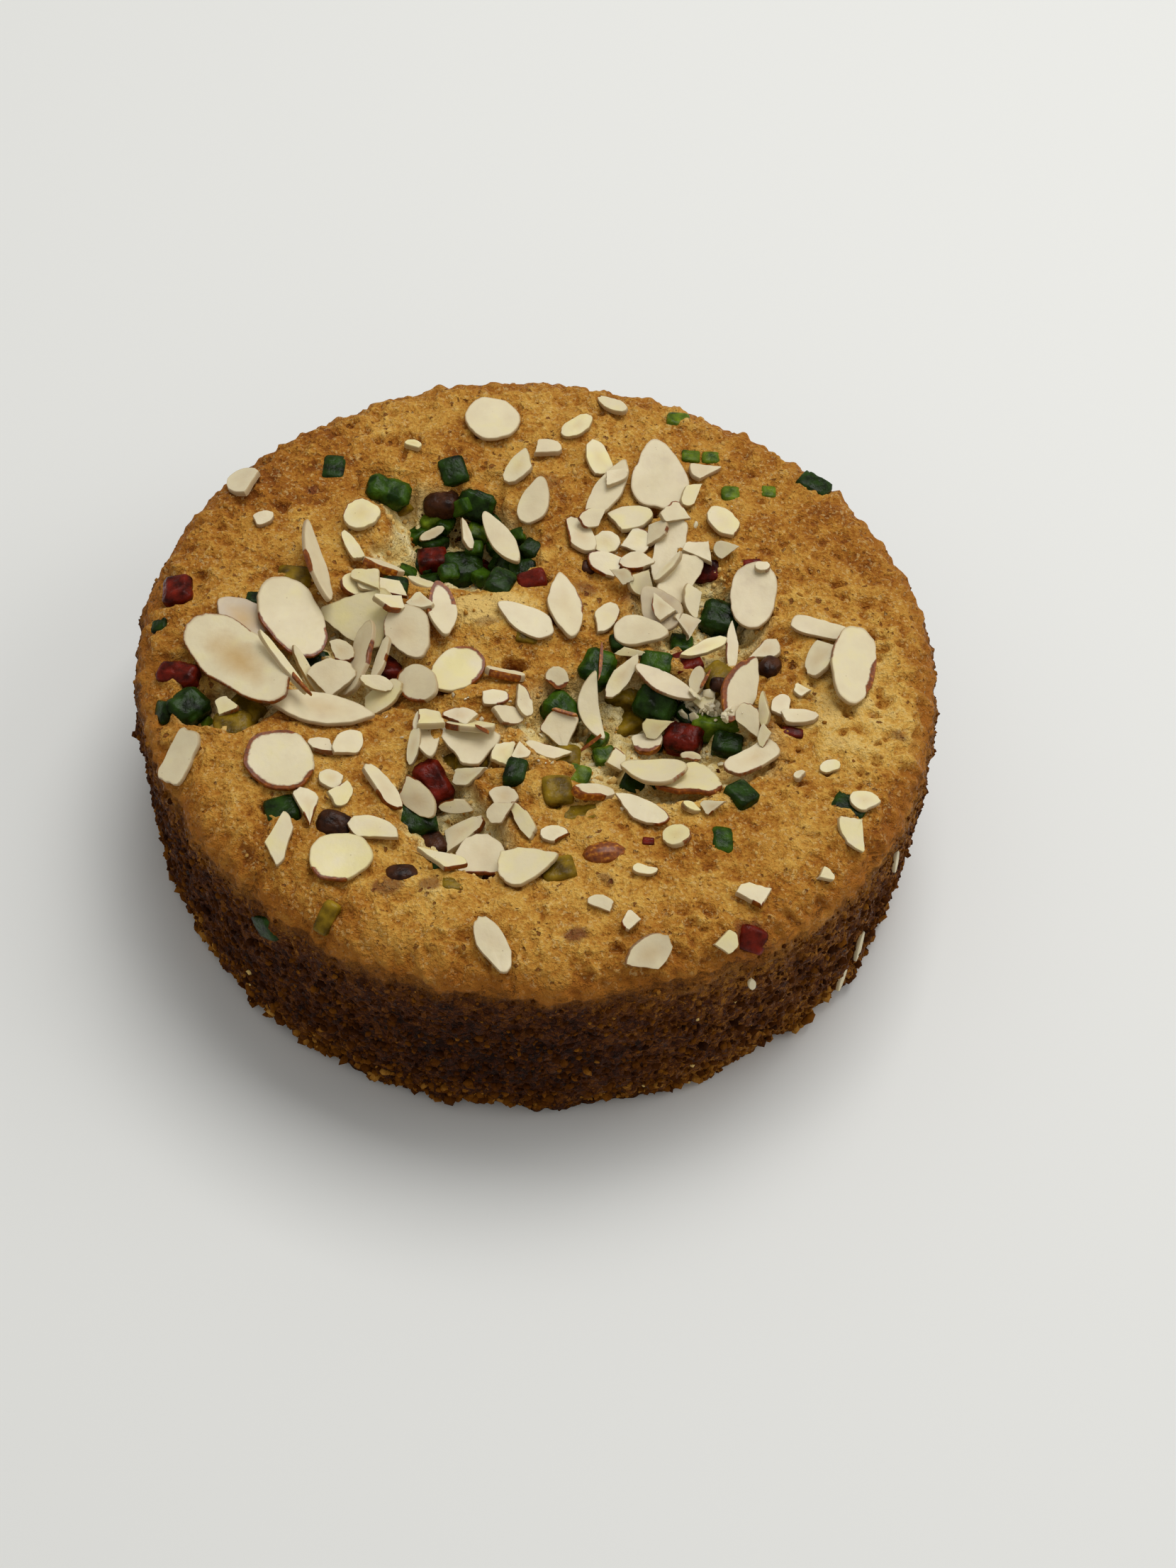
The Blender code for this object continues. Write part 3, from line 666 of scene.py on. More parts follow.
SMALL_FRUIT = {
    "green": (
        (-19.5, 14.5, 6, 5, 20, 1.6), (-24, 20, 6, 5, -30, 1.4), (-8, 15, 6, 5, 70, 1.6),
        (-4, 20, 5, 4, 10, 1.4), (-28, 13.5, 5, 4, 0, 1.0), (-22, 25.5, 6, 5, 50, 1.6),
        (-10, 33, 5, 5, 15, 1.5), (-2.5, 25, 4, 4, 60, 1.2), (-19, 45, 5.5, 6, 20, 1.0),
        (-42.5, 44, 4.5, 6, 0, 0.3), (-67.5, -20.5, 4, 4, 60, 0.3), (-71, 1, 3.5, 4.5, 0, 0.2),
        (52, 46.5, 7, 5, -30, 1.4), (-20.8, -42, 6.5, 6, 15, 2.2), (-2.6, -29.8, 5, 3.8, 80, 1.6),
        (27, -13.5, 4.5, 5, 30, 1.8), (35.5, -20, 4.5, 5.5, 80, 1.6), (19, -31, 6, 5, -20, 1.4),
        (37.5, -31.5, 4.5, 5, 40, 1.0), (-43.5, -65.8, 6, 4.5, -10, 0.6), (-41.5, -6, 6, 4, 0, 1.0),
        (-53.5, 8, 4, 3, 0, 0.8), (-43.5, -40.5, 5.5, 5, 20, 0.5), (34.5, 4, 4, 4, 20, 1.0),
        (15, 3, 4, 3.5, 10, 0.8), (21, -21, 4, 3, 0, 1.0), (-15, -50.5, 4, 3.5, 30, 0.8),
        (56.8, -32.6, 6.5, 5, -25, 0.7),
    ),
    "leaf": (
        (34, -41.9, 3.8, 5.6, 0, 0.9), (-18, 18, 4, 3.5, 20, 1.2), (-25, 27, 4, 3, 50, 1.0),
        (-14, 23.5, 3.5, 3, 0, 1.4), (-20, 31, 4, 3, 70, 1.2), (-9, 27, 3.5, 3, 30, 1.2),
        (-26, 17, 3.5, 3, 0, 1.0), (21.8, -1.8, 6, 4.5, -10, 1.0), (26.5, 3, 4, 4, 0, 1.0),
        (-12, 17.5, 3.5, 3, 45, 1.4), (-17, 35, 4, 3, 10, 1.0), (-5.5, 28.5, 3.5, 3, 0, 0.8),
    ),
    "bright": (
        (12.8, -25, 4.4, 3.8, 20, 1.4), (7.6, -29.8, 4, 4, -15, 1.2), (33.5, -15.8, 9, 4, -5, 1.2),
        (25.5, 63.5, 4.5, 4, 0, 0.5), (28, 53, 3.5, 3, 0, 0.5), (32, 53, 3.5, 3, 0, 0.5),
        (36, 43.5, 4, 4, 0, 0.5), (43.5, 44.5, 3, 3, 0, 0.4), (-22, 31.5, 5, 4, 30, 1.4),
        (-13, 31, 4, 4, 0, 1.2), (11.5, -21, 4, 3, 60, 0.9), (-58.5, -22.5, 3, 2.4, 0, 0.5),
    ),
    "amber": (
        (-54, -24, 7, 6, 10, 1.9), (-51.9, -19, 6.5, 5, -30, 2.2), (-47, 14, 6.5, 5.5, 0, 0.8),
        (4.7, -33, 5.2, 5.2, 12, 0.9), (8.5, -37.6, 8.5, 3.6, 12, 0.2), (16.5, -16, 7, 6, 30, 1.4),
        (33, -4.5, 6, 5, 50, 1.0), (17, -9, 6, 5, -20, 1.2), (-13, -28, 6, 5, 20, 1.0),
        (5.6, -25.6, 5, 5, 0, 1.2), (-28, 33, 4, 4, 0, 0.8), (-2.5, 3, 4, 3, 0, 0.5),
        (-12.5, -54.5, 4, 3, 0, 0.3), (-33.5, -63, 3, 6, -30, 0.5), (5.5, -50, 5.5, 4.5, 15, 0.6),
        (-11.2, -27, 6, 4.5, 0, 0.4),
    ),
    "red": (
        (-21, 20.5, 5.5, 4.5, 10, 1.6), (-11.5, 22, 5, 6, 30, 1.8), (-2, 16.5, 6, 4.5, 10, 1.4),
        (-26.5, -6.5, 4.5, 6, 10, 1.4), (31, 22, 5, 4, 0, 0.8), (27, -1.5, 6, 5, 20, 1.2),
        (40, 24.5, 4, 2.5, 10, 0.6), (47, -16.5, 4, 2, -10, 0.3), (39.2, -62.6, 5.2, 4.4, -10, 0.7),
        (21, -43, 2, 1.6, 0, 0.2),
    ),
    "raisin": (
        (-20.5, 38, 7, 5.5, 0, 1.2), (43.3, -1.8, 4, 4.8, -30, 1.8), (25.8, -8, 4.5, 2.6, -30, 1.0),
        (33.5, -6.2, 3.6, 3, 0, 1.0), (-34, -42.7, 7, 5.5, -10, 1.2), (-17, -46, 4, 5, 30, 1.4),
        (-21.5, -52.5, 6, 4, 10, 0.5), (-5.5, -52, 8, 3.6, 0, 0.5), (8.5, 21.5, 3, 3, 0, 0.6),
    ),
}
SMALL_DIE_CUTS = 7
SMALL_DIE_WRINKLES = 0.5
DIE_FLATNESS = 0.75
MOST_LEAN = 0.35
DIE_REST = 3.0

# A die that stands out no further than this is baked into the crust, level with it and smoother
FLUSH = 1.0
FLUSH_WRINKLES = 0.2
small_ways, small_triangles = ball(SMALL_DIE_CUTS)


def turned(angle, lean=0.0, lean_way=0.0):
    """The matrix that turns points by angle about Z, and then leans them over towards lean_way."""
    axis = Vector((-math.sin(lean_way), math.cos(lean_way), 0.0))
    return np.array(Matrix.Rotation(lean, 3, axis) @ Matrix.Rotation(angle, 3, "Z"))


def joined(pieces):
    """Many small meshes as one: their points, and their triangles numbered on."""
    counts = np.cumsum([0] + [len(points) for points, _ in pieces])
    triangles = [triangles + start for (_, triangles), start in zip(pieces, counts)]
    return np.vstack([points for points, _ in pieces]), np.vstack(triangles)


def small_die(kind, x, y, length, width, turn, proud):
    """The points of one small die, squarer for papaya than for a raisin, where it lies in the cake."""
    spot, _ = seen_at(x, y, surfaces)
    facings = [hit[1] for tree in surfaces for hit in tree.find_nearest_range(Vector(spot), DIE_REST)]
    normal = np.mean(facings, axis=0)
    normal /= np.linalg.norm(normal)
    thickness = DIE_FLATNESS * (length + width) / 2
    half_sizes = np.array([length, width, thickness]) / 2 * chance.uniform(0.95, 1.1)
    squareness = 3.0 if kind == "raisin" else chance.uniform(5.0, 9.0)
    reach = (np.abs(small_ways / half_sizes) ** squareness).sum(axis=1) ** (-1 / squareness)
    if proud > FLUSH:
        matrix = turned(math.radians(turn), chance.uniform(0.0, MOST_LEAN), chance.uniform(0, 2 * np.pi))
        middle = spot + normal * proud - (0.0, 0.0, thickness / 2)
    else:
        matrix = turned(math.radians(turn), math.acos(normal[2]), math.atan2(normal[1], normal[0]))
        middle = spot + normal * (proud - thickness / 2)
    points = (small_ways * reach[:, None]) @ matrix.T + middle
    wrinkles = SMALL_DIE_WRINKLES if proud > FLUSH else FLUSH_WRINKLES
    return wrinkled(points, small_ways @ matrix.T, chance.uniform(0, 90), wrinkles)


for kind, rows in SMALL_FRUIT.items():
    points, triangles = joined([(small_die(kind, *row), small_triangles) for row in rows])
    make_piece(f"small_{kind}_fruit", points, triangles, fruit_skin[kind], fruit_slot[kind])
    surfaces.append(tree_of(points, triangles))

# ------------------------ The large almond flakes
# Whole almonds with their skins on, sliced about 1 mm thick and dried. The cut faces are ivory and waxy,
# the rim keeps its red-brown skin where the slice reached the outside, and some have snapped straight.

from mathutils.geometry import convex_hull_2d

OUTLINE_POINTS = 56
OUTLINE_ROUNDINGS = 2
SLICE_HALF = 0.42
MOST_INSET = 0.28
EDGE_SHARE = 0.55
FLAKE_CREASE = 35
WAVINESS = 0.3
SKIN_FADE = 15.0
FLAKES = 37
BROKEN = (3, 4, 8, 19, 20, 26, 31, 33, 34, 36)
BROKEN_UNEVENNESS = 1.8

# The flake that is bowed like a half moon, and how far its middle is off its ends
BOWED = {30: 2.0}


def at_level(outline, level):
    """The points of an outline, all at one level."""
    return np.column_stack([outline, np.full(len(outline), level)])


def almond_slice(outline, half, skinned, insets=(0.9, 0.12), shares=(0.35, 0.7)):
    """A flat slice in the XY plane. skinned says how thick the brown skin is at each point of its rim, insets
    how far the rim's two rounded steps lie inside it, and shares where the rings of the flat face lie."""
    lengths = np.linalg.norm(outline, axis=1)
    inset_scales = [1.0 - np.minimum(inset, MOST_INSET * lengths) / lengths for inset in insets]
    shells = [(np.full(len(outline), share) * inset_scales[0], half, 0.0) for share in shares]
    shells += [(inset_scales[0], half, np.clip(skinned - 0.5, 0.0, 1.0)), (inset_scales[1], half, skinned)]
    below = [(scale, -level, mark) for scale, level, mark in shells[::-1]]
    edge = np.ones(len(outline))
    shells += [(edge, EDGE_SHARE * half, skinned), (edge, -EDGE_SHARE * half, skinned), *below]
    rows = [at_level(outline * scale[:, None], level) for scale, level, _ in shells]
    points = np.vstack([[(0.0, 0.0, half)], *rows, [(0.0, 0.0, -half)]])
    count = len(outline)
    index = [1 + count * number + np.arange(count) for number in range(len(shells))]
    triangles = [np.column_stack([np.zeros(count, int), index[0], np.roll(index[0], -1)])]
    triangles += [band(upper, lower) for upper, lower in zip(index, index[1:])]
    last = np.full(count, len(points) - 1)
    triangles += [np.column_stack([index[-1], last, np.roll(index[-1], -1)])]
    skin = np.concatenate([[0.0], *(np.zeros(count) + mark for _, _, mark in shells), [0.0]])
    outness = np.concatenate([[0.0], *(scale for scale, _, _ in shells), [0.0]])
    return points, np.vstack(triangles), skin, outness


def rim_skin(ways, arcs):
    """How thick the skin is in each direction seen from above, from arcs of (start, span, thickness)."""
    angles = np.degrees(np.arctan2(ways[:, 1], ways[:, 0]))
    skin = np.zeros(len(ways))
    for start, span, thickness in arcs:
        into = (angles - start) % 360.0
        share = np.clip(np.minimum(into, span - into) / SKIN_FADE, 0.0, 1.0)
        skin = np.maximum(skin, np.where(into < span, thickness * share, 0.0))
    return skin


def hull_outline(flat_points, corners_kept):
    """The outline around points in a plane, read at even steps around it, rounded unless corners are kept."""
    hull = flat_points[convex_hull_2d([Vector(point) for point in flat_points])]
    if np.cross(hull[1] - hull[0], hull[2] - hull[1]) < 0:
        hull = hull[::-1]
    half_length, half_width = np.abs(hull).max(axis=0)
    turns = np.linspace(0.0, 2 * np.pi, OUTLINE_POINTS, endpoint=False)
    found = []
    for way in outward(turns)[:, :2] * (half_length, half_width):
        share = np.inf
        for start, end in zip(hull, np.roll(hull, -1, axis=0)):
            side = end - start
            facing = way[0] * side[1] - way[1] * side[0]
            if facing > 1e-9:
                share = min(share, (start[0] * side[1] - start[1] * side[0]) / facing)
        found.append(way * share)
    outline = np.array(found)
    if not corners_kept:
        for _ in range(OUTLINE_ROUNDINGS):
            outline = (np.roll(outline, 1, axis=0) + 2 * outline + np.roll(outline, -1, axis=0)) / 4
    return outline


# Almond: ivory flesh with a waxy, slightly clear body, a faint roughness left by the blade, a core that is
# browner in some slices, and thin brown papery skin.
almond, tree, shader, place = start_material("sliced dried almond")
skin_mark, out_mark, tint_mark, core_mark = (
    add(tree, "Attribute", {}, out="Fac", attribute_name=mark) for mark in ("skin", "outness", "tint", "core")
)
cloud, skin_tone, grooves = (
    add(tree, "TexNoise", {"Vector": place, "Scale": 1 / size, "Detail": detail})
    for size, detail in ((4, 4.0), (0.7, 3.0), (1.5, 3.0))
)
flesh_tone = add(tree, "Math", {0: cloud, 1: 0.9, 2: tint_mark}, operation="MULTIPLY_ADD")
flesh_tone = add(tree, "Math", {0: flesh_tone, 1: 0.28}, operation="SUBTRACT")
ivories = ((0.1, "#C2B094"), (0.4, "#D6C6A2"), (0.7, "#DED0AA"), (1.0, "#E2D49A"))
core_edge = add(tree, "Math", {0: cloud, 1: 0.5, 2: out_mark}, operation="MULTIPLY_ADD")
core_share = add(tree, "MapRange", {"Value": core_edge, 1: 0.95, 2: 0.35, 4: 0.7})
core_share = add(tree, "Math", {0: core_share, 1: core_mark}, operation="MULTIPLY")
speck = add(tree, "TexVoronoi", {"Vector": place, "Scale": 1 / 2.6})
speck = add(tree, "MapRange", {"Value": speck, 1: 0.03, 2: 0.06, 3: 0.45, 4: 0.0})
rim_share = add(tree, "MapRange", {"Value": out_mark, 1: 0.93, 2: 1.0, 4: 0.6})
skin_shade = add(tree, "Math", {0: skin_mark, 1: 0.25, 2: skin_tone}, operation="MULTIPLY_ADD")
skin_browns = ((0.5, "#5A2400"), (0.85, "#8A4604"), (1.15, "#B87618"))
skin_colour = add(tree, "ValToRGB", {"Fac": skin_shade}, skin_browns)
skin_edge = add(tree, "Math", {0: skin_tone, 1: 0.3, 2: skin_mark}, operation="MULTIPLY_ADD")
skin_share = add(tree, "MapRange", {"Value": skin_edge, 1: 0.6, 2: 0.8})
colour = add(tree, "ValToRGB", {"Fac": flesh_tone}, ivories)
for share, over in (
    (core_share, "#C4A26A"),
    (speck, "#8A6B40"),
    (rim_share, "#8E6A38"),
    (skin_share, skin_colour),
):
    colour = add(tree, "Mix", {0: share, 6: colour, 7: over}, out=2, data_type="RGBA")
almond_sockets = {
    "Base Color": colour,
    "Normal": add(tree, "Bump", {"Height": grooves, "Distance": 0.15 * MM, "Strength": 0.5}),
    "Roughness": 0.38,
    "IOR": 1.46,
    "Specular IOR Level": 0.4,
    "Subsurface Weight": 0.25,
    "Subsurface Radius": (1.0, 0.9, 0.65),
    "Subsurface Scale": 1.5 * MM,
}
feed(shader, almond_sockets)

# What sets each large flake apart: its tint from grey (0) to yellow (1), how brown its core is, and where its
# rim has skin, as arcs of start, span and thickness seen from above. The low tints of flakes 23 and 29 are
# painted shade.
TRAITS = {
    1: (0.0, 1.2, ((120, 140, 0.5),)),
    2: (0.35, 0.5, ()),
    3: (0.7, 0.0, ((150, 60, 0.6),)),
    4: (0.4, 0.2, ((-60, 110, 0.9),)),
    5: (0.5, 1.3, ((60, 300, 0.65),)),
    6: (0.45, 0.0, ((180, 190, 0.85),)),
    7: (0.5, 0.0, ((60, 290, 1.0),)),
    8: (0.4, 0.1, ((160, 90, 0.55),)),
    9: (0.35, 0.4, ((120, 130, 0.6),)),
    10: (0.4, 0.1, ((20, 200, 1.2),)),
    11: (0.72, 0.0, ((-60, 170, 0.9), (160, 60, 0.6))),
    12: (0.45, 0.2, ((110, 190, 0.8),)),
    13: (0.35, 0.2, ((150, 120, 1.0),)),
    14: (0.5, 0.0, ()),
    17: (0.3, 0.0, ((130, 60, 0.6),)),
    21: (0.4, 0.3, ((-40, 120, 0.7),)),
    23: (0.1, 0.4, ()),
    25: (0.3, 0.1, ((150, 100, 0.5),)),
    27: (0.5, 0.0, ((-80, 120, 1.2), (100, 90, 0.6))),
    28: (0.4, 0.0, ((60, 220, 1.2),)),
    29: (0.2, 0.1, ((150, 140, 0.6),)),
    30: (0.55, 0.0, ((-60, 80, 0.6),)),
    31: (0.7, 0.0, ((190, 150, 0.95),)),
    32: (0.6, 0.0, ((-60, 60, 0.6),)),
    33: (0.35, 0.5, ((180, 140, 0.6),)),
    35: (0.4, 0.2, ((130, 120, 0.7),)),
    36: (0.6, 0.0, ()),
    37: (0.75, 0.0, ((200, 100, 0.85),)),
}
PLAIN_TRAITS = (0.4, 0.1, ())


def flat_axes(points):
    """The long, the short and the upright way of a slice, as rows."""
    axes = np.linalg.svd(points - points.mean(axis=0), full_matrices=False)[2]
    if axes[2, 2] < 0:
        axes[2] *= -1
    if np.linalg.det(axes) < 0:
        axes[1] *= -1
    return axes


def make_almond(name, points, triangles, skin, outness, tint, core):
    """A piece of almond. Each mark has a number for each point, or one for them all."""
    marks = {"skin": skin, "outness": outness, "tint": tint, "core": core}
    marks = {label: np.zeros(len(points)) + values for label, values in marks.items()}
    return make_piece(name, points, triangles, almond, "flaked_almond", FLAKE_CREASE, **marks)


def bend_terms(flat):
    """What a slice's bend is made of: its level, its curve along its length, and its two slopes."""
    return np.column_stack([np.ones(len(flat)), flat[:, 0] ** 2, flat[:, 0], flat[:, 1]])


for number in range(1, FLAKES + 1):
    name = f"almond_flake_{number:02d}"
    points, _ = mesh_arrays(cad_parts[name])
    middle = (points.min(axis=0) + points.max(axis=0)) / 2
    axes = flat_axes(points)
    local = (points - middle) @ axes.T
    bend = np.linalg.lstsq(bend_terms(local), local[:, 2], rcond=None)[0]
    outline = hull_outline(local[:, :2], number in BROKEN)
    unevenness = layered(at_level(outline, number * 5.0), ((0.07, 3.0, 0.0), (0.025, 1.3, 0.0)))
    outline *= 1.0 + (unevenness * (BROKEN_UNEVENNESS if number in BROKEN else 1.0))[:, None]
    if number in BOWED:
        along = outline[:, 0] / np.abs(outline[:, 0]).max()
        outline[:, 1] = 0.8 * outline[:, 1] - np.sign(axes[1, 0]) * BOWED[number] * (1.0 - along**2)
    tint, core, arcs = TRAITS.get(number, PLAIN_TRAITS)
    skinned = rim_skin(at_level(outline, 0.0) @ axes, arcs)
    flat, flake_triangles, skin, outness = almond_slice(outline, SLICE_HALF, skinned)
    flat[:, 2] += bend_terms(flat) @ bend + WAVINESS * rough(flat, 6.0, number * 2.0)
    points = flat @ axes + middle
    title = name.replace("almond", "sliced_almond")
    flake = make_almond(title, points, flake_triangles, skin, outness, tint, core)
    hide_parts(name)
    surfaces.append(tree_of(points, flake_triangles))

# ------------------------ The small almond flakes
# Splinters and corners that broke off the slices in the bag, scattered with them. Each leans on whatever
# lies under it. A row is x, y, length, width and turn.

# Chips that keep a thick edge of brown skin, towards the front
SKINNED_CHIPS = (
    (11, -32.9, 9.5, 3.6, 30), (20.6, -21.2, 5.8, 4.4, 10), (28.4, -23.5, 4, 1.8, -5),
    (-30.5, 18, 9, 4, 20), (3.6, -6.8, 4, 4.5, 60), (-6.1, -6.8, 7.5, 3, 0),
)
WHOLE_CHIPS = (
    (-36.5, -3.5, 6, 4, -30), (-28, -14, 9, 5, 35), (-33.3, -25.3, 7.5, 5, 60), (-38, -26, 5, 3, -5),
    (-59.5, 38.5, 10, 7, -60), (-36, 31.5, 8, 7, 70), (-23, 14.5, 6, 4.5, -20), (-6, 47, 8.5, 5, 55),
    (5, 59.5, 7.5, 4, 40), (12, 66.5, 7.5, 3.5, -40), (9.5, 51, 9, 5, -70), (16.5, 35, 8.5, 6.5, 20),
    (11.5, 28, 6, 5, 0), (34.5, 35.5, 8.5, 5.5, -55), (6.5, 29.5, 10, 5.5, -60), (17.5, 23.5, 7, 4.5, 20),
    (11.5, 22.5, 7, 5, -15), (12, 8.5, 9, 4.5, 65), (52.5, 1.5, 8.5, 5.5, 70), (48.4, -12.9, 7, 3.4, 5),
    (59.5, -31.5, 5.5, 4.5, -20), (26, -41.5, 5.5, 5, -60), (53.5, -24, 4, 2.5, 20),
    (48, -26.5, 2.4, 1.8, 30), (21.5, -66.7, 9, 6, 45), (-5, -66.7, 11, 5, -60), (-8, -48, 9, 8.5, 0),
    (-27, -44, 9.5, 5, -20), (-35.5, -33.5, 5, 4, -30), (-26.3, -34.5, 10.5, 4.2, -45),
    (-13.1, -37.8, 6.2, 2.6, 5), (-19.8, -36.7, 9, 5, -45), (-4.8, -35.2, 5.6, 4.2, -10),
    (-1, -40, 8.5, 2.8, -60), (4.5, -42.7, 5, 3.5, 0), (-5, -16.5, 7, 4, 20), (-11.5, -19.5, 9, 4.5, -15),
    (-2.5, -12.8, 6.5, 3.2, -65), (-7.5, -12.5, 5, 3.2, 10), (-35.5, 13, 6, 5, 10),
    (19.5, -36.3, 11, 4.5, -25), (-54.5, 29, 4, 3, 30), (-27.5, 51.5, 3.5, 2.5, 0), (42, 24, 3, 2.2, 0),
)
SLIVERS = (
    (-47, -7, 16, 2.2, -48), (-42, -9.5, 12, 2, -50), (-29, -5, 10, 2.4, 75), (-29.5, -10.5, 6.5, 3, -5),
    (-37, 23, 8, 2.6, -60), (-15.5, 28, 7, 2.2, -65), (-22, 27.5, 5.5, 2, 35), (30.5, 2.5, 10.5, 3, 30),
    (36, 3, 12, 2.4, 88), (15.5, -5.5, 10.5, 3.6, 62), (41.9, -11.5, 7, 2.2, 85), (-21.5, -25, 7, 2.2, 80),
    (24, 22.5, 8, 2.2, 50), (20.5, -49.3, 4.5, 2, 0), (29.4, -5.8, 6, 3, 75), (28.4, -35, 3.6, 2, 0),
)
BROKEN_CHIPS = (
    (-37.5, -10, 9, 8, 15), (-30, 13, 10, 4, -10), (-28.5, 9, 6, 4.5, 30), (-33, 15.5, 7, 4, -30),
    (31, 49, 7.5, 4.5, 25), (28, 42.5, 7.5, 3.5, 60), (17.5, 28.5, 6.5, 5.5, 40), (30, 27.5, 6.5, 5, -20),
    (21.5, 31.5, 6, 4.5, 70), (35, 28, 5, 3.5, 0), (18.5, 17.5, 5.5, 5, 30), (28.5, 14, 7, 4.5, -80),
    (27.5, 7.5, 6, 5, 10), (22.5, 12.5, 6, 4, -60), (42, 2.5, 6.5, 4.5, 20), (30.8, -10.4, 4.2, 4.2, -20),
    (39.2, -14.6, 7.5, 4.5, -65), (44.9, -10.3, 4.8, 3.6, 80), (41.8, -17.8, 4.5, 2.4, 75),
    (22.5, -17.3, 6, 4, 10), (32.4, -34.8, 4.6, 2.6, 0), (57.5, -38.5, 7.5, 5.5, -50),
    (39.5, -53.5, 6.5, 5.5, 10), (52, -48, 3.4, 2.6, 0), (34.5, -63.5, 4.5, 4, 20), (18, -60, 3.5, 3, 40),
    (13, -56.5, 4.5, 2.5, -20), (-15, -49.5, 9.5, 5, -20), (-43.3, -47, 10.5, 4.5, 85),
    (-11.5, -43.5, 9, 5, 30), (-38.7, -40, 9, 4.2, -70), (-33.5, -36.5, 5.5, 4, 60),
    (-11, -31, 7, 3.5, -5), (-5, -38.5, 5.5, 4, 20), (-19.5, -18.5, 6, 5.5, -70),
    (-5.6, -25.1, 6, 3.8, 80), (-2.5, -25.3, 4.5, 3.2, 60), (-13.6, -17.6, 6.5, 4, 5),
    (2.5, -24.5, 9, 3, -5), (15.1, -25.4, 4, 3.5, 70), (48.8, -6.7, 3.2, 2.6, -20),
    (-56, -18.5, 5, 4, -30), (4.2, -19.4, 8, 6.6, 80), (9, 34.5, 6, 4, 30), (25, 37, 6.5, 5, 0),
    (13, 46, 6, 4, 50), (15, 20, 5, 3, -40), (-22.5, 10, 6, 4, -30), (-1, 53, 6, 4.5, 20),
    (17, 0.5, 6, 1.8, -5),
)
CHIP_POINTS = 28
CHIP_INSETS = (0.4, 0.1)
CHIP_SHARES = (0.5,)
CHIP_HALVES = (0.4, 0.62)
SKINNED_HALF = 0.65

# How far from the middle a chip is cut off, as shares of its radius: at one end, or on three sides. Each cut
# is a little nearer or further than that, and turned by this many radians from the one before.
END_CUT = (0.7,)
SNAPPED_CUTS = (0.45, 0.6, 0.9)
CUT_SHIFTS = (-0.2, 0.15)
CUT_TURNS = (1.5, 2.2)
CHIP_UNEVENNESS = 0.04

# The arc of skin that six in ten of the chips keep: its span in degrees, and how thick it is
SKINNED_SHARE = 0.6
SKIN_SPANS = (60, 200)
SKIN_THICKNESSES = (0.5, 0.9)

# A chip leans with what is under it, up to a limit, and a little on its own, in degrees. It rests on the
# highest tenth or so of what is under it, found in a few steps along the line of sight.
LEAN_LIMITS = (25, 40)
OWN_LEAN = 14
RESTING_SHARE = 88
RESTING_STEPS = 3
ABOVE_ALL = 83.0
DOWNWARD = (0.0, 0.0, -1.0)


def chip_outline(length, width, cuts):
    """The outline of a chip of the given size: a slice with the given cuts, each on a further side."""
    turns = np.linspace(0.0, 2 * np.pi, CHIP_POINTS, endpoint=False)
    shape = outward(turns)[:, :2]
    way = chance.uniform(0, 2 * np.pi)
    for away in cuts:
        normal = outward(way)[:2]
        over = np.clip(shape @ normal - away - chance.uniform(*CUT_SHIFTS), 0.0, None)
        shape -= over[:, None] * normal
        way += chance.uniform(*CUT_TURNS)
    shape *= 1.0 + chance.uniform(-CHIP_UNEVENNESS, CHIP_UNEVENNESS, len(shape))[:, None]
    low, high = shape.min(axis=0), shape.max(axis=0)
    return (shape - (low + high) / 2) / (high - low) * (length, width)


def levels_under(places):
    """How high the topmost surface is under each place."""
    levels = []
    for x, y in places:
        hits = [tree.ray_cast(Vector((x, y, ABOVE_ALL)), Vector(DOWNWARD))[0] for tree in surfaces]
        levels.append(max((hit.z for hit in hits if hit), default=0.0))
    return np.array(levels)


def lay_down(flat, outline, x, y, turn):
    """Lays a flat chip where it is seen: leant to what lies under its outline, and touching it."""
    spot, _ = seen_at(x, y, surfaces)
    footprint = at_level(outline * 0.8, 0.0) @ turned(math.radians(turn)).T + spot
    levels = levels_under(footprint[::3, :2])
    table = np.column_stack([footprint[::3, :2] - spot[:2], np.ones(len(levels))])
    slope_x, slope_y, _ = np.linalg.lstsq(table, levels, rcond=None)[0]
    slope = math.atan(math.hypot(slope_x, slope_y))
    lean = min(slope, math.radians(chance.uniform(*LEAN_LIMITS)))
    lean += math.radians(chance.uniform(-OWN_LEAN, OWN_LEAN))
    matrix = turned(math.radians(turn), lean, math.atan2(-slope_y, -slope_x))
    rings = np.vstack([outline[::3] * 0.9, outline[::4] * 0.5, [(0.0, 0.0)]])
    footprint = at_level(rings, flat[:, 2].min()) @ matrix.T
    to_eye = np.array((eye_place - Vector(spot)).normalized())
    for _ in range(RESTING_STEPS):
        needed = levels_under((footprint + spot)[:, :2]) - (footprint + spot)[:, 2]
        spot = spot + to_eye * np.percentile(needed, RESTING_SHARE) / to_eye[2]
    return flat @ matrix.T + spot


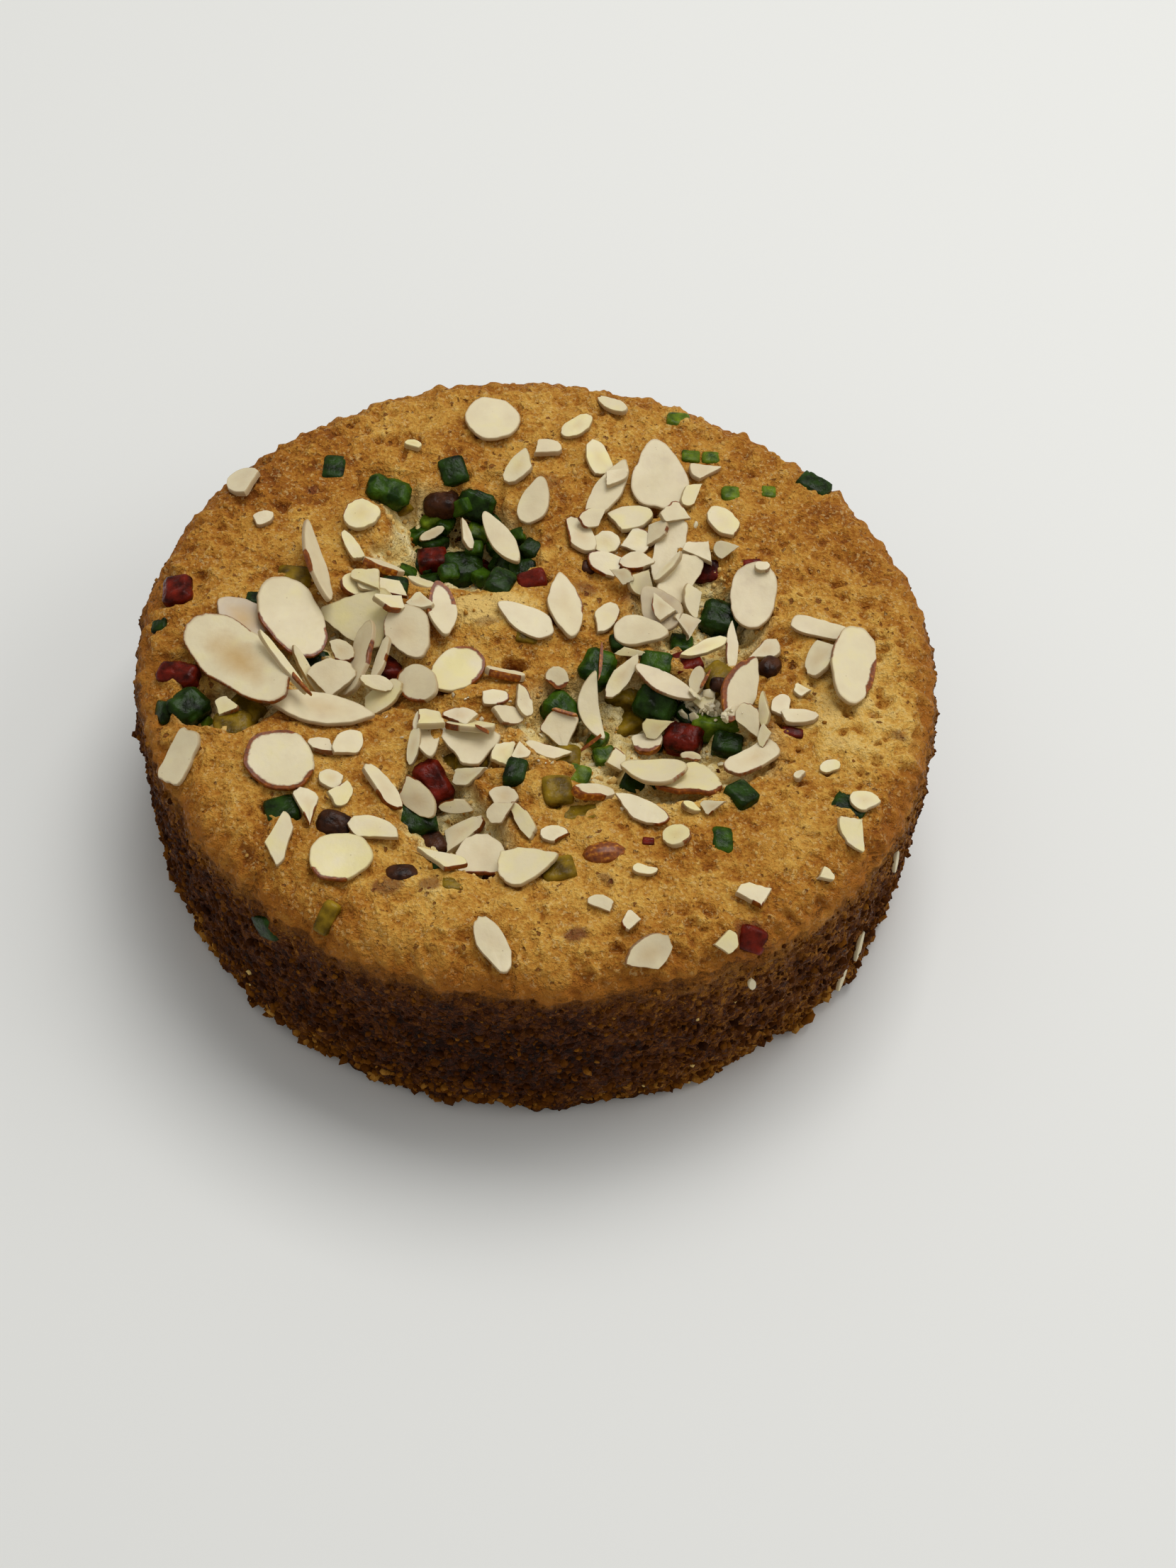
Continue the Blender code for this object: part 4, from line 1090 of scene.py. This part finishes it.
chips, chip_marks = [], []
for rows, cuts in (
    (SKINNED_CHIPS, END_CUT),
    (WHOLE_CHIPS, END_CUT),
    (SLIVERS, END_CUT),
    (BROKEN_CHIPS, SNAPPED_CUTS),
):
    for x, y, length, width, turn in rows:
        outline = chip_outline(length, width, cuts)
        start, span = chance.uniform(0, 360), chance.uniform(*SKIN_SPANS)
        arcs = ((start, span, chance.uniform(*SKIN_THICKNESSES)),) if chance.random() < SKINNED_SHARE else ()
        if rows is SKINNED_CHIPS:  # a thick edge all along the side towards the eye
            arcs = ((190 - turn, 160, 1.4),)
        half = SKINNED_HALF if rows is SKINNED_CHIPS else chance.uniform(*CHIP_HALVES)
        skinned = rim_skin(outline, arcs)
        flat, chip_triangles, skin, outness = almond_slice(outline, half, skinned, CHIP_INSETS, CHIP_SHARES)
        flat[:, 2] += chance.uniform(0.0, 0.012) * flat[:, 0] ** 2 + 0.2 * rough(flat, 4.0, len(chips) * 2.0)
        points = lay_down(flat, outline, x, y, turn)
        chips.append((points, chip_triangles))
        tint, core = chance.uniform(0.3, 0.75), chance.choice((0.0, 0.2, 0.5))
        chip_marks.append((skin, outness, np.full(len(points), tint), np.full(len(points), core)))
        surfaces.append(tree_of(points, chip_triangles))
make_almond("small_sliced_almonds", *joined(chips), *(np.concatenate(column) for column in zip(*chip_marks)))

# ------------------------ The stalks and bits of almond
# What else fell in with the fruit: thin dry stalks, a corner of a whole almond with its striped skin baked
# into the crust, and slivers of almond caught in the side.

# A row is x, y, length and turn
STALKS = (
    (11.5, -2.3, 9, 88), (5.3, -15, 5, -18), (9.9, -22.2, 6, 40), (-9.5, -20, 3, -25), (31, -5, 5, 70),
    (-43, -12, 6, -45),
)
STALK_WIDTH = 0.7
STALK_HALF = 0.3
STALK_INSETS = (0.2, 0.1)
STALK_BEND = 0.008

# Slivers caught in the side: their level, the angle round the cake, length and lean
SIDE_SLIVERS = (
    (12, -33.5, 6.5, -24), (6, -36.8, 5.5, -30), (30, -27, 6, -18), (32, -58, 3, 10), (20, 118, 7, 50),
    (26, 62, 6, 30),
)
SLIVER_WIDTH = 1.5
SLIVER_HALF = 0.35
SLIVER_INSETS = (0.5, 0.12)
SLIVER_STANDS_OUT = 0.3
SLIVER_UPRIGHT = 80

# The corner of a whole almond: where it shows, half its size each way, how deep its middle lies, and its turn
BAKED_IN_AT = (13.5, -45.5)
BAKED_IN_HALVES = (3.9, 2.4, 1.8)
BAKED_IN_DEPTH = 1.1
BAKED_IN_TURN = 0.2
SKIN_STRIPES = 14.0

bits, bit_marks = [], []
for x, y, length, turn in STALKS:
    outline = chip_outline(length, STALK_WIDTH, END_CUT)
    skinned = np.ones(CHIP_POINTS)
    flat, bit_triangles, _, _ = almond_slice(outline, STALK_HALF, skinned, STALK_INSETS, CHIP_SHARES)
    flat[:, 1] += STALK_BEND * flat[:, 0] ** 2
    bits.append((lay_down(flat, outline, x, y, turn), bit_triangles))
    bit_marks.append(np.full(len(flat), 1.2))
baked_in_at, _ = seen_at(*BAKED_IN_AT, surfaces[:1])
stripes = ball_ways[:, 1] * SKIN_STRIPES
baked_in = ball_ways * BAKED_IN_HALVES * (1.0 + 0.012 * np.sin(stripes))[:, None]
middle = baked_in_at - (0.0, 0.0, BAKED_IN_DEPTH)
bits.append((baked_in @ turned(BAKED_IN_TURN).T + middle, ball_triangles))
bit_marks.append(1.1 + 0.4 * np.sin(stripes + rough(baked_in, 2.0)))
for level, angle, length, lean in SIDE_SLIVERS:
    out = outward(math.radians(angle))
    start = np.array([0.0, 0.0, level])
    spot = start + out * (reaches(surfaces[0], [start], [out])[0] + SLIVER_STANDS_OUT)
    outline = chip_outline(length, SLIVER_WIDTH, END_CUT)
    skinned = np.zeros(CHIP_POINTS)
    flat, bit_triangles, _, _ = almond_slice(outline, SLIVER_HALF, skinned, SLIVER_INSETS, CHIP_SHARES)
    around = Matrix.Rotation(math.radians(angle), 3, "Z")
    stand = around @ Matrix.Rotation(math.radians(SLIVER_UPRIGHT), 3, "Y")
    points = flat @ np.array(stand @ Matrix.Rotation(math.radians(lean), 3, "Z")).T + spot
    bits.append((points, bit_triangles))
    bit_marks.append(np.zeros(len(points)))
make_almond("almond_bits_and_stalks", *joined(bits), np.concatenate(bit_marks), 0.45, 0.45, 0.0)

# ------------------------ The crumbs
# Grains of the cake itself: dark ones left on the side and the foot where the tin's paper pulled away, and
# golden ones over the top, thickest where the crust has torn. Bits rubbed off the almonds lie among them.

# The coat on the side: it lies thickest towards the foot, and a few of its grains are pale
SIDE_GRAINS = 9900
SIDE_GRAIN_SIZE = 0.45
COAT_TOP = 38.0
COAT_BOTTOM = 0.4
COAT_CROWDING = 1.3
GRAIN_CLEARANCE = 1.6
INSIDE_SIDE = 40.0
PALE_SHARE = 0.003
PALE_TONE = 0.85

# The crumbs on the top, thickest in the tears
TOP_CRUMBS = 2200
TOP_CRUMB_RADIUS = 70.0
TOP_CRUMB_SIZE = 0.24
ABOVE_TOP = 60.0
SCATTERED_SHARE = 0.12
TORN_SHARE = 0.5
SUNK_SHARE = 0.1

# Where bits off the almonds lie thickest: x, y, half length, half width, turn, how many, and their size. The
# fine ones are kept only where they fall on the cake itself.
DUST_ZONES = (
    (31.5, -12.5, 4, 3, 0, 50, 0.65), (-10, -20, 14, 9, 0, 30, 0.3), (24, 26, 14, 18, 0, 40, 0.3),
    (18, -26, 18, 8, 0, 40, 0.3), (-38, 0, 14, 8, -40, 20, 0.3),
)
LARGE_DUST = 0.4
DUST_REST = 0.3

bm = bmesh.new()
bmesh.ops.create_icosphere(bm, subdivisions=1, radius=1.0)
grain_points = np.array([vert.co for vert in bm.verts])
grain_triangles = np.array([[vert.index for vert in face.verts] for face in bm.faces])
bm.free()


def scatter(places, sizes, flattest=0.65):
    """Uneven grains at the given places, as one mesh. flattest is the least share of its size a grain has."""
    count = len(places)
    jitter = chance.uniform(0.7, 1.3, (count, len(grain_points), 1))
    stretch = chance.uniform(flattest, 1.9 - flattest, (count, 1, 3))
    turns = np.linalg.qr(chance.normal(size=(count, 3, 3)))[0]
    points = (grain_points * jitter * stretch) @ turns * sizes[:, None, None] + places[:, None, :]
    triangles = grain_triangles + (np.arange(count) * len(grain_points))[:, None, None]
    return points.reshape(-1, 3), triangles.reshape(-1, 3)


def make_crumbs(name, points, triangles, tones):
    """A piece of loose crumb, with one tone for each grain."""
    tone = np.repeat(tones, len(grain_points))
    make_piece(name, points, triangles, crumb_material, "baked_crust", tone=tone)


# Loose crumb: the same baked batter broken into grains, each a little lighter or darker than the next.
crumb_material, tree, shader, place = start_material("broken cake crumb")
tone_mark = add(tree, "Attribute", {}, out="Fac", attribute_name="tone")
speckle = add(tree, "TexNoise", {"Vector": place, "Scale": 1 / 0.6, "Detail": 2.0})
loose_tone = add(tree, "Math", {0: speckle, 1: 0.25, 2: tone_mark}, operation="MULTIPLY_ADD")
loose_browns = ((0.1, "#220C02"), (0.35, "#4C2606"), (0.55, "#7A480F"), (0.75, "#B98438"), (1.0, "#DCBC74"))
crumb_sockets = {
    "Base Color": add(tree, "ValToRGB", {"Fac": loose_tone}, loose_browns),
    "Normal": add(tree, "Bump", {"Height": speckle, "Distance": 0.2 * MM, "Strength": 0.6}),
    "Roughness": 0.8,
    "Specular IOR Level": 0.04,
}
feed(shader, crumb_sockets)

around = chance.uniform(0, 2 * np.pi, SIDE_GRAINS)
levels = COAT_TOP * chance.uniform(0, 1, SIDE_GRAINS) ** COAT_CROWDING + COAT_BOTTOM
ways = outward(around)
starts = ways * INSIDE_SIDE
starts[:, 2] = levels
reach = reaches(surfaces[0], starts, ways)
sizes = chance.lognormal(math.log(SIDE_GRAIN_SIZE), 0.4, SIDE_GRAINS).clip(0.2, 1.0)
sizes *= 1.0 + 0.5 * ramp(-levels, -7.0, -1.0) - 0.4 * ramp(levels, 22.0, 36.0)
places = starts + ways * (reach - SUNK_SHARE * sizes)[:, None]
places[:, 2] = np.maximum(places[:, 2], GRAIN_CLEARANCE * sizes)
points, triangles = scatter(places, sizes)
foot_light = 0.19 * ramp(-levels, -13.0, -2.0) + 0.14 * ramp(levels, 28.0, 38.0)
tones = (0.18 + foot_light + chance.normal(0, 0.11, SIDE_GRAINS)).clip(0.0, 0.75)
tones[chance.random(SIDE_GRAINS) < PALE_SHARE] = PALE_TONE
make_crumbs("side_crumb", points, triangles, tones)

tries = 4 * TOP_CRUMBS
radii = TOP_CRUMB_RADIUS * np.sqrt(chance.random(tries))
places = outward(chance.uniform(0, 2 * np.pi, tries)) * radii[:, None] + (0.0, 0.0, ABOVE_TOP)
torn = np.max([covered(places, row, 0.8, 1.2) for row in TORN_ZONES], axis=0)
kept = np.nonzero(chance.random(tries) < SCATTERED_SHARE + TORN_SHARE * torn)[0][:TOP_CRUMBS]
places, torn = places[kept], torn[kept]
reach = reaches(surfaces[0], places, np.tile(DOWNWARD, (len(places), 1)))
sizes = chance.lognormal(math.log(TOP_CRUMB_SIZE), 0.4, len(places)).clip(0.1, 0.6) * (1.0 + 0.5 * torn)
places[:, 2] -= reach + SUNK_SHARE * sizes
points, triangles = scatter(places, sizes)
tones = (0.62 + 0.14 * torn + chance.normal(0, 0.07, len(places))).clip(0.4, 0.95)
make_crumbs("top_crumb", points, triangles, tones)

dust, sizes = [], []
for x, y, half_length, half_width, turn, count, size in DUST_ZONES:
    matrix = turned(math.radians(turn))[:2, :2]
    for aside_x, aside_y in chance.normal(0, 0.5, (count, 2)) * (half_length, half_width) @ matrix.T:
        spot, normal = seen_at(x + aside_x, y + aside_y, surfaces)
        if size > LARGE_DUST or surfaces[0].find_nearest(spot)[3] < DUST_REST:
            dust.append(spot + 0.1 * normal)
            sizes.append(size * chance.lognormal(0.0, 0.45))
points, triangles = scatter(np.array(dust), np.array(sizes).clip(0.15, 1.2), 0.3)
make_almond("almond_dust", points, triangles, 0.0, 0.5, 0.5, 0.0)

# ------------------------ The table and lights
# A pale, plain table top and soft light from large panels overhead and to the right, as in a bright
# kitchen. The table lies just under the cake, so that the two faces don't meet.

TABLE_HALF = 2000
TABLE_GAP = 0.3
ROOM_LIGHT = 0.42
ROOM_COLOUR = (1.0, 1.0, 0.99, 1.0)

# Each lamp's place and width in metres, and its power in watts
LAMPS = {"ceiling": ((0.2, 0.45, 1.15), 0.7, 8.2), "side": ((0.9, 0.1, 0.7), 0.6, 2.0)}

# White laminate: pressed smooth and matt, so that the cake casts a soft shadow and shows no reflection.
laminate, _, shader, _ = start_material("white laminate")
feed(shader, {"Base Color": "#E6E6E2", "Roughness": 0.6})
floor_mesh = bpy.data.meshes.new("table_top")
corners = [(x * TABLE_HALF * MM, y * TABLE_HALF * MM, 0.0) for x, y in ((-1, -1), (1, -1), (1, 1), (-1, 1))]
floor_mesh.from_pydata(corners, [], [(0, 1, 2, 3)])
floor_mesh.materials.append(laminate)
floor = bpy.data.objects.new("table_top", floor_mesh)
floor.location.z = -TABLE_GAP * MM
bpy.context.scene.collection.objects.link(floor)

world = bpy.data.worlds.new("room")
world.use_nodes = True
feed(world.node_tree.nodes["Background"], {"Color": ROOM_COLOUR, "Strength": ROOM_LIGHT})
bpy.context.scene.world = world
for label, (spot, width, power) in LAMPS.items():
    light = bpy.data.lights.new(label, "AREA")
    light.size = width
    light.energy = power
    lamp = bpy.data.objects.new(label, light)
    lamp.location = spot
    lamp.rotation_euler = (-Vector(spot)).to_track_quat("-Z", "Y").to_euler()
    bpy.context.scene.collection.objects.link(lamp)
bpy.context.scene.view_settings.view_transform = "Standard"
